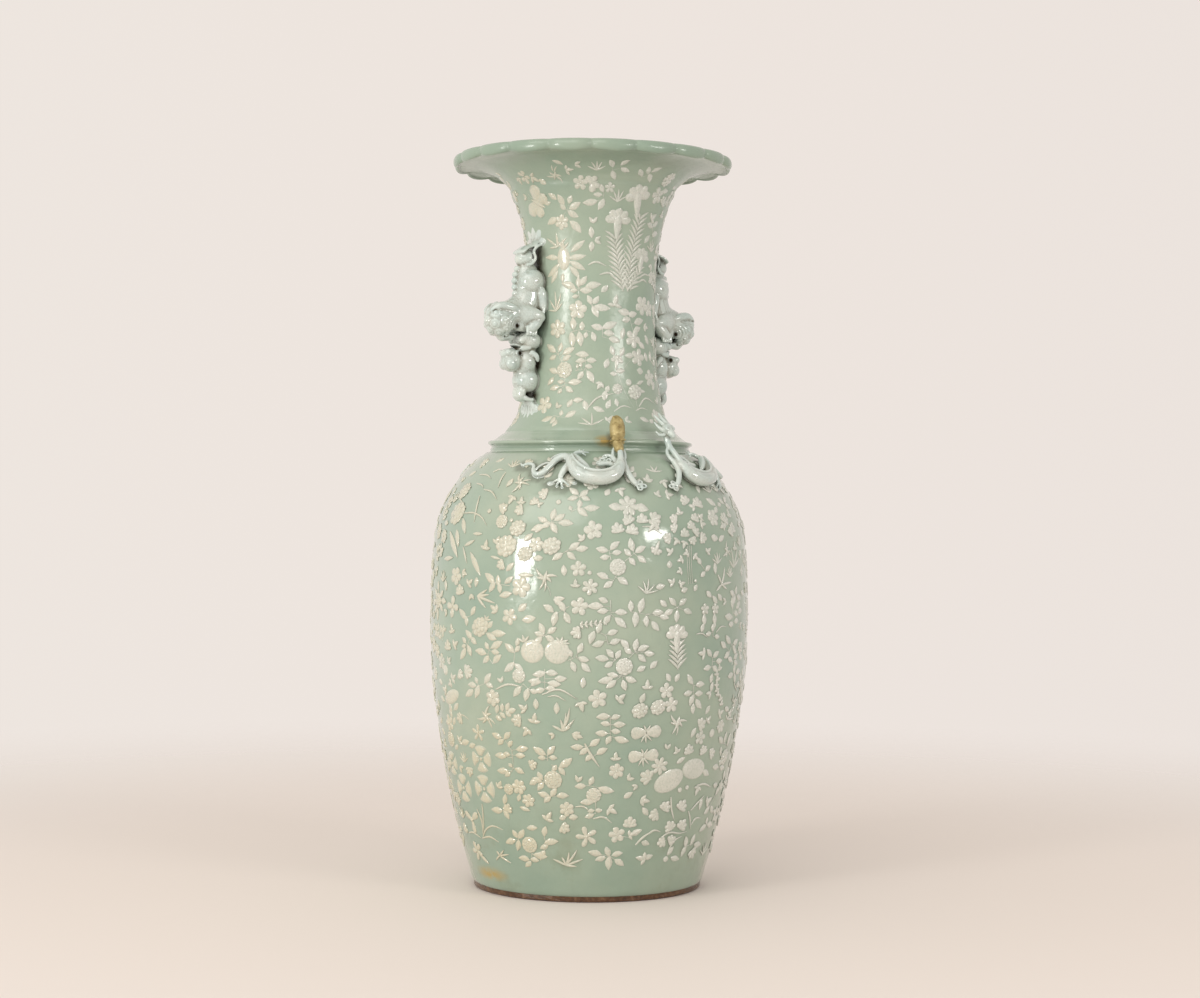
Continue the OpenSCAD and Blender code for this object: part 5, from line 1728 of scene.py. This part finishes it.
    # lower right: bows, melons, orchids
    lay(s.peony, [
        ((-13.3, 154), 6.2), ((-6.4, 156.3), 6.2), ((34.4, 111), 6.6)
    ])
    s.star((-3.8, 109.4), 6.4, 7, 20, 0.22)
    s.swallow((2.2, 143.4), 75, 8.5)
    lay(s.leaf, [
        ((5.6, 113), 30, 7, 1.6), ((21, 100.4), -25, 8, 2.0), ((11, 32.5), -12, 8, 1.9),
        ((-4, 36), 20, 6, 1.8)
    ])
    lay(s.fruit, [
        ((1.2, 97), 14.4, 8.8, 22, 5), ((13.2, 105), 13.2, 8.6, -4, 5)
    ])
    lay(s.disc, [
        ((7, 89), 2.2), ((10.7, 90.4), 2.0), ((5.4, 33), 2.6)
    ])
    lay(s.blade, [
        ([(16, 91), (21, 91.5), (26.4, 88)], 1.0), ([(-6, 54.6), (-3, 57.8), (0.4, 56)], 0.85),
        ([(1, 51.6), (5, 55), (10.6, 53.4), (15, 54)], 0.85), ([(6, 40), (8.4, 48), (12.6, 51)], 0.85),
        ([(15, 71), (18.6, 76.6), (22.4, 82)], 0.85), ([(13.6, 71), (15.6, 64), (17, 55)], 0.85),
        ([(17, 59), (19.4, 64), (23.4, 63.4)], 0.85), ([(3, 84), (4, 74), (6.4, 64)], 0.85)
    ])
    lay(s.sprig, [
        ([(31, 122.6), (36.6, 119.6)], [(28.6, 125.5, 1.0), (32.4, 127, 0.9), (36.4, 124.6, 1.0)]),
        ([(31, 103)], [(27.7, 103.6, 1.0), (34, 102.4, 0.9), (31.6, 107, 0.6)]),
        ([(29.4, 72.6)], [(27, 69, 0.9), (31.8, 68.4, 0.9), (34, 84, 0.9)]),
        ([(30, 56.5)], [(27, 54, 1.0), (33.4, 55.4, 1.1), (29.4, 59.8, 0.6)]), ([(16.4, 41), (20, 42.8)],
        [(15.8, 45.4, 0.9), (20.6, 46.2, 0.9), (15.6, 37.6, 0.9), (25.6, 41.4, 1.1)])
    ])
    s.tuft((31, 142), [(37.6, 141.6), (29.4, 145.8), (34.6, 147.6)], 0.9)
    s.lobed((25.2, 148), 30, 6, 3)
    for x, z, r in ((-10.4, 136.4, 1.0), (-10.8, 117.8, 1.0)):
        s.leaf((x - 3.0 * r, z), 186, 9.5, 3.6, 0, PETAL)
        s.leaf((x + 3.0 * r, z + 0.6), 6, 9.5, 3.6, 0, PETAL)
        s.tuft((x, z - 1), [(x - 1.8, z - 7.5), (x + 0.2, z - 8.5), (x + 2.4, z - 6.6)], 0.8)
        s.tuft((x, z + 1), [(x - 1.2, z + 6), (x + 1.4, z + 6)], 0.8)


def neck_front(s):
    """What the photograph shows on the neck."""
    s.butterfly((-76.5, 557), 150, 12.5)
    lay(s.rose, [
        ((-55, 422), 5.9), ((-9.6, 407), 3.8)
    ])
    lay(s.sprig, [
        ([(-57.5, 428), (-61.5, 435)], [(-69, 440, 1.1), (-59.7, 440.5, 0.8), (-51.5, 437.4, 1.1),
        (-67, 432.6, 0.7), (-53, 431.6, 0.8)], 6.6, 1.8),
        ([(-61, 420)], [(-65.6, 421.4, 0.9), (-67.4, 413, 0.8)], 6.6, 1.8), ([(-54.4, 416), (-54, 409.5)],
        [(-45, 412, 1.1), (-63, 407.4, 0.9), (-49.4, 406.4, 0.8), (-58, 405, 0.5),
        (-57.6, 412.5, 0.6)], 6.6, 1.8), ([(-36.6, 434), (-36.6, 423.5)], [(-39.6, 434.2, 1.05),
        (-41, 429, 0.8), (-31.4, 429.5, 0.8), (-33.6, 424.6, 0.6), (-40.6, 417.4, 0.8),
        (-32.4, 416.4, 1.1)], 6.6, 1.8),
        ([(-45, 421.5), (-38, 422.6)], [(-43.6, 425, 0.4), (-40.4, 426, 0.4)], 6, 1.6), ([(-60, 385),
        (-51, 383)], [(-65.4, 382.4, 1.0), (-60, 381, 0.7), (-54.6, 387, 0.5), (-46.6, 386.2, 1.0),
        (-57.6, 378.6, 0.7)], 6.6, 1.8), ([(-9.4, 426), (-9.6, 409)], [(-13.4, 438, 0.8), (-4, 437.4, 0.8),
        (-6, 421.5, 0.8), (-12.6, 419, 0.6)], 6.6, 1.8)
    ])
    lay(s.star, [
        ((-71, 394), 6.4, 5, 60), ((13, 433.4), 6.4, 5, 70), ((8, 448.4), 6.8, 5, 60), ((28, 417), 6.2, 5, 20)
    ])
    lay(s.leaf, [
        ((-48.3, 395), 60, 5.6, 1.8), ((-41.8, 397.6), 5, 6.4, 1.8), ((-20.4, 401.6), 80, 6.4, 2.0),
        ((-18, 407), 70, 4.4, 1.6), ((-18.4, 427.6), 70, 6.4, 1.9), ((-17.8, 394.4), 65, 6.4, 1.8),
        ((-11, 396), 100, 5, 1.5), ((14, 413), 20, 6.6, 1.2), ((14.4, 406), -6, 6.6, 1.2),
        ((14.6, 422.4), 170, 5.6, 2.2), ((33.4, 411), 60, 6, 1.8), ((11.4, 382.6), -20, 7, 1.9),
        ((18.4, 381.6), 30, 5, 1.6)
    ])
    s.lily((-9, 430), 80, 6.4)
    lay(s.blade, [
        ([(-34, 391.4), (-26, 400), (-13, 403.6)], 0.9), ([(-14, 388.6), (-6, 393.4), (1.6, 392)], 0.7),
        ([(9, 393), (18, 400.5), (29, 397)], 0.8), ([(5, 389.6), (11, 392), (18, 391)], 0.6)
    ])
    s.peony((7, 405), 6.4)
    s.disc((1.4, 412.6), 3.0)
    lay(s.stem, [
        ([(-8, 418), (-3, 404), (4, 392)], 0.4), ([(7, 399), (7.6, 389)], 0.4),
        ([(-2, 424.4), (2, 429), (7, 431)], 0.4)
    ])
    s.tuft((-31, 377.4), [(-31, 389), (-38.6, 384.6), (-40.6, 379.4), (-22, 383.6)], 0.9)
    # middle of the neck
    lay(s.sprig, [
        ([(-43, 480), (-43.4, 487.6)], [(-53, 490.4, 1.25), (-43.6, 493, 0.8), (-38.8, 494, 0.9),
        (-30.4, 490, 1.3), (-36.6, 486.4, 1.0), (-47.8, 486, 0.6), (-46.6, 481.6, 0.5)], 6.6, 1.8),
        ([(-31.6, 474)], [(-33.8, 478.6, 0.8), (-28, 478.6, 0.8), (-22, 473, 1.3),
        (-28.6, 469, 1.0)], 6.6, 1.8), ([(3.6, 469), (5.4, 462), (8, 455)], [(-1.6, 469.6, 1.1),
        (7.8, 468.6, 0.9), (0.6, 463.2, 0.8), (15.4, 462.6, 1.1), (13, 456.6, 0.8)], 6.6, 2.0),
        ([(-50, 452.6), (-40, 454.6), (-30, 452)], [(-48, 459.6, 1.0), (-40, 457.6, 0.7), (-49.2, 446.6, 1.2),
        (-41.6, 447, 1.2), (-36.4, 450, 0.5)], 6.6, 1.9), ([(-22, 456), (-22, 449)], [(-26.6, 456.8, 1.0),
        (-15.4, 458.4, 1.3), (-16, 451.6, 0.9), (-11, 446.4, 1.0)], 6.6, 1.9)
    ])
    lay(s.star, [
        ((-44, 470.6), 6.6, 5, 80, 0.36), ((-63, 455.6), 6.6, 6, 30, 0.3), ((20, 476), 7, 5, 50, 0.34),
        ((31, 474), 6, 5, 20)
    ])
    s.tuft((-65, 470), [(-66.4, 486.4), (-60, 484.4), (-58.6, 476.4), (-72.4, 479.4), (-73.4, 471)], 0.9)
    s.lobed((-10, 478), 80, 7.6, 3, 190)
    lay(s.fern, [
        ([(-3, 487), (-8, 508), (-13.4, 532)], 11, 11, 0.9, 42),
        ([(2, 487), (5, 515), (10, 549)], 14, 11, 0.9, 42), ([(5, 488), (12, 500), (16, 508)], 5, 8, 0.85, 40)
    ])
    lay(s.lily, [
        ((-10.6, 543), 88, 13), ((3.4, 562), 100, 14), ((17, 515), 80, 11)
    ])
    lay(s.blade, [
        ([(-35, 506.6), (-28, 509.2), (-19, 506)], 0.9), ([(-25, 499), (-16, 500.6), (-9, 494)], 0.9),
        ([(14, 498), (22, 501.6), (31, 500.6)], 0.9), ([(13, 494), (20, 497), (27, 495)], 0.9)
    ])
    # a thistle with long leaves, and flowers above it
    s.fruit((-57, 512), 5.8, 9.6, 0, 3)
    lay(s.tuft, [
        ((-57, 520), [(-62, 526), (-57.6, 527.6), (-52, 525)], 1.1),
        ((-62.4, 521.6), [(-63, 533), (-53.6, 528.6), (-73, 529), (-70.6, 521)], 1.0)
    ])
    lay(s.sprig, [
        ([(-57, 512)], [(-44, 521.6, 1.4), (-44.6, 513.4, 1.4), (-44.6, 506, 1.4), (-47, 500.6, 1.2),
        (-68, 503, 1.4), (-66.6, 497.6, 1.1), (-58, 496.6, 0.7), (-69, 513, 1.2)], 7, 1.5, False),
        ([(-56, 546), (-51.6, 550)], [(-65.4, 542, 1.1), (-45.4, 536.8, 1.3), (-46.8, 547.2, 1.0),
        (-45.2, 553.6, 1.1), (-55.6, 558.4, 1.0), (-48.2, 558.4, 0.7), (-54.6, 553, 0.6)], 6.6, 1.9),
        ([(-23.6, 563), (-24, 558)], [(-33.6, 556.4, 1.2), (-25.4, 554.6, 1.0), (-28, 561.8, 0.7),
        (-25, 567, 0.7)], 6.6, 1.8),
        ([(30, 533), (27, 540)], [(33, 535, 1.0), (23, 541, 0.9), (31, 543, 0.8)], 6.6, 1.8)
    ])
    lay(s.star, [
        ((-57, 541), 5.4, 6, 20), ((-19.6, 567.6), 3.8, 5, 90), ((-40, 571), 5.4, 5, 80)
    ])
    lay(s.leaf, [
        ((-67.4, 556.4), 10, 5, 1.5), ((-32.4, 532.8), 95, 7, 1.8)
    ])
    lay(s.lobed, [
        ((-31, 543), 90, 6.6, 2, 70), ((25, 548), 40, 6.6, 3), ((33, 562), 60, 6.6, 5)
    ])


def neck_mouth_front(s):
    """What the photograph shows under the flare of the mouth."""
    s.star((-82, 578), 5, 5, 60)
    s.swallow((-57, 577), 250, 7)
    s.lobed((-40, 584), 0, 6, 2, 60)
    s.butterfly((-31, 571), 200, 6.5)
    lay(s.sprig, [
        ([(-20, 580), (-15, 583)], [(-21, 585, 0.9), (-13, 586, 0.9), (-18, 577, 0.9),
        (-11.4, 581, 0.9)], 6.6, 1.8), ([(2, 577), (7, 580)], [(0, 580, 0.9), (8.6, 577, 0.9), (10, 583, 0.9),
        (4.6, 582, 0.8)], 6.6, 1.8)
    ])
    s.peony((27, 578), 6)


body_slip = Slip(body_skin)
body_front(body_slip)
body_slip.build("slip_body_front")
around_slip = Slip(body_skin)
around_slip.taken = body_slip.taken
fill(around_slip, 27, 352, 0.0, 5)
around_slip.build("slip_body_around")
neck_slip = Slip(neck_skin)
neck_front(neck_slip)
neck_mouth_front(neck_slip)
HANDLE_ROOM = 14         # the filler stays this far from the line of each handle
neck_slip.taken += [(angle, height, HANDLE_ROOM) for angle in (-90, 90) for height in range(382, 545, 8)]
fill(neck_slip, 377, 589, 0.2, 6)
neck_slip.build("slip_neck")
top_line = [(MOUTH_R - 9, HEIGHT - 0.45), (MOUTH_R - 15, HEIGHT - 1.2), *FUNNEL]
top_slip = Slip(Skin(curve(top_line, 40)), True)
fill(top_slip, seam_r + 8, MOUTH_R - 9, 0.6, 7)
top_slip.build("slip_mouth_top")

# ---------------------------------------------------------------- studio

LIGHT_DISTANCE = 2600
LIGHT_AIM = 300          # the height on the vase's axis that the lamps point at


def softbox(name, azimuth, elevation, width, height, power, colour, distance=LIGHT_DISTANCE):
    """A soft rectangular lamp at an azimuth from the camera, aimed at the vase's axis.

    Its sizes and its distance are millimetres, its power watts.
    """
    data = bpy.data.lights.new(name, "AREA")
    data.shape = "RECTANGLE"
    data.size = width * MM
    data.size_y = height * MM
    data.energy = power
    data.color = colour
    lamp = add_object(name, data)
    e = math.radians(elevation)
    away = look_direction(CAMERA_AZIMUTH + azimuth) * math.cos(e)
    place = np.array([away[0], away[1], math.sin(e)]) * distance + [0, 0, LIGHT_AIM]
    lamp.location = place * MM
    a = math.radians(CAMERA_AZIMUTH + azimuth)
    lamp.rotation_euler = (math.radians(90) - e, 0, a)


softbox("left_softbox", -47, 5.4, 520, 430, 19, (1.0, 0.975, 0.95))
softbox("right_softbox", 50, 14, 800, 300, 14, (1.0, 0.965, 0.935))
softbox("front_fill", -30, 40, 2600, 1500, 22, (1.0, 0.98, 0.96), 3200)


FLOOR_SIDES, FLOOR_R, FLOOR_Z = 96, 4.0, -0.0002     # the last two in metres


def make_stage():
    """A plain pale floor that fades into the surroundings, so that no horizon shows."""
    mesh = bpy.data.meshes.new("floor")
    n, r = FLOOR_SIDES, FLOOR_R
    ring = [(r * math.cos(TAU * i / n), r * math.sin(TAU * i / n), FLOOR_Z) for i in range(n)]
    mesh.from_pydata(ring, [], [list(range(n))])
    floor = add_object("floor", mesh)
    mat, tree, shader = new_material("pale_floor")
    put(shader, {"Base Color": (0.78, 0.715, 0.66), "Roughness": 0.75})
    out = shader.outputs[0].links[0].to_node
    where = tree.nodes.new("ShaderNodeTexCoord").outputs["Object"]
    length = tree.nodes.new("ShaderNodeVectorMath")
    length.operation = "LENGTH"
    fade = band(tree, put(length, {0: where}).outputs["Value"], 0.35, 1.5)
    clear = tree.nodes.new("ShaderNodeBsdfTransparent")
    both = put(tree.nodes.new("ShaderNodeMixShader"), {0: fade, 1: shader.outputs[0], 2: clear.outputs[0]})
    put(out, {0: both.outputs[0]})
    mesh.materials.append(mat)
    world = bpy.data.worlds.new("studio")
    bpy.context.scene.world = world
    world.use_nodes = True
    tree = world.node_tree
    where = tree.nodes.new("ShaderNodeTexCoord").outputs["Generated"]
    sideways = tree.nodes.new("ShaderNodeVectorMath")
    sideways.operation = "DOT_PRODUCT"
    a = math.radians(CAMERA_AZIMUTH)
    put(sideways, {0: where, 1: (math.cos(a), math.sin(a), 0)})
    share = band(tree, sideways.outputs["Value"], -1, 1)
    put(tree.nodes["Background"], {"Color": ramp(tree, share, [
        (0.0, (0.900, 0.860, 0.810)), (0.25, (0.850, 0.790, 0.740)), (0.5, (0.850, 0.780, 0.730)),
        (0.70, (0.835, 0.770, 0.725)), (0.92, (0.620, 0.585, 0.560)),
    ])})


make_stage()
bpy.context.scene.view_settings.view_transform = "Standard"
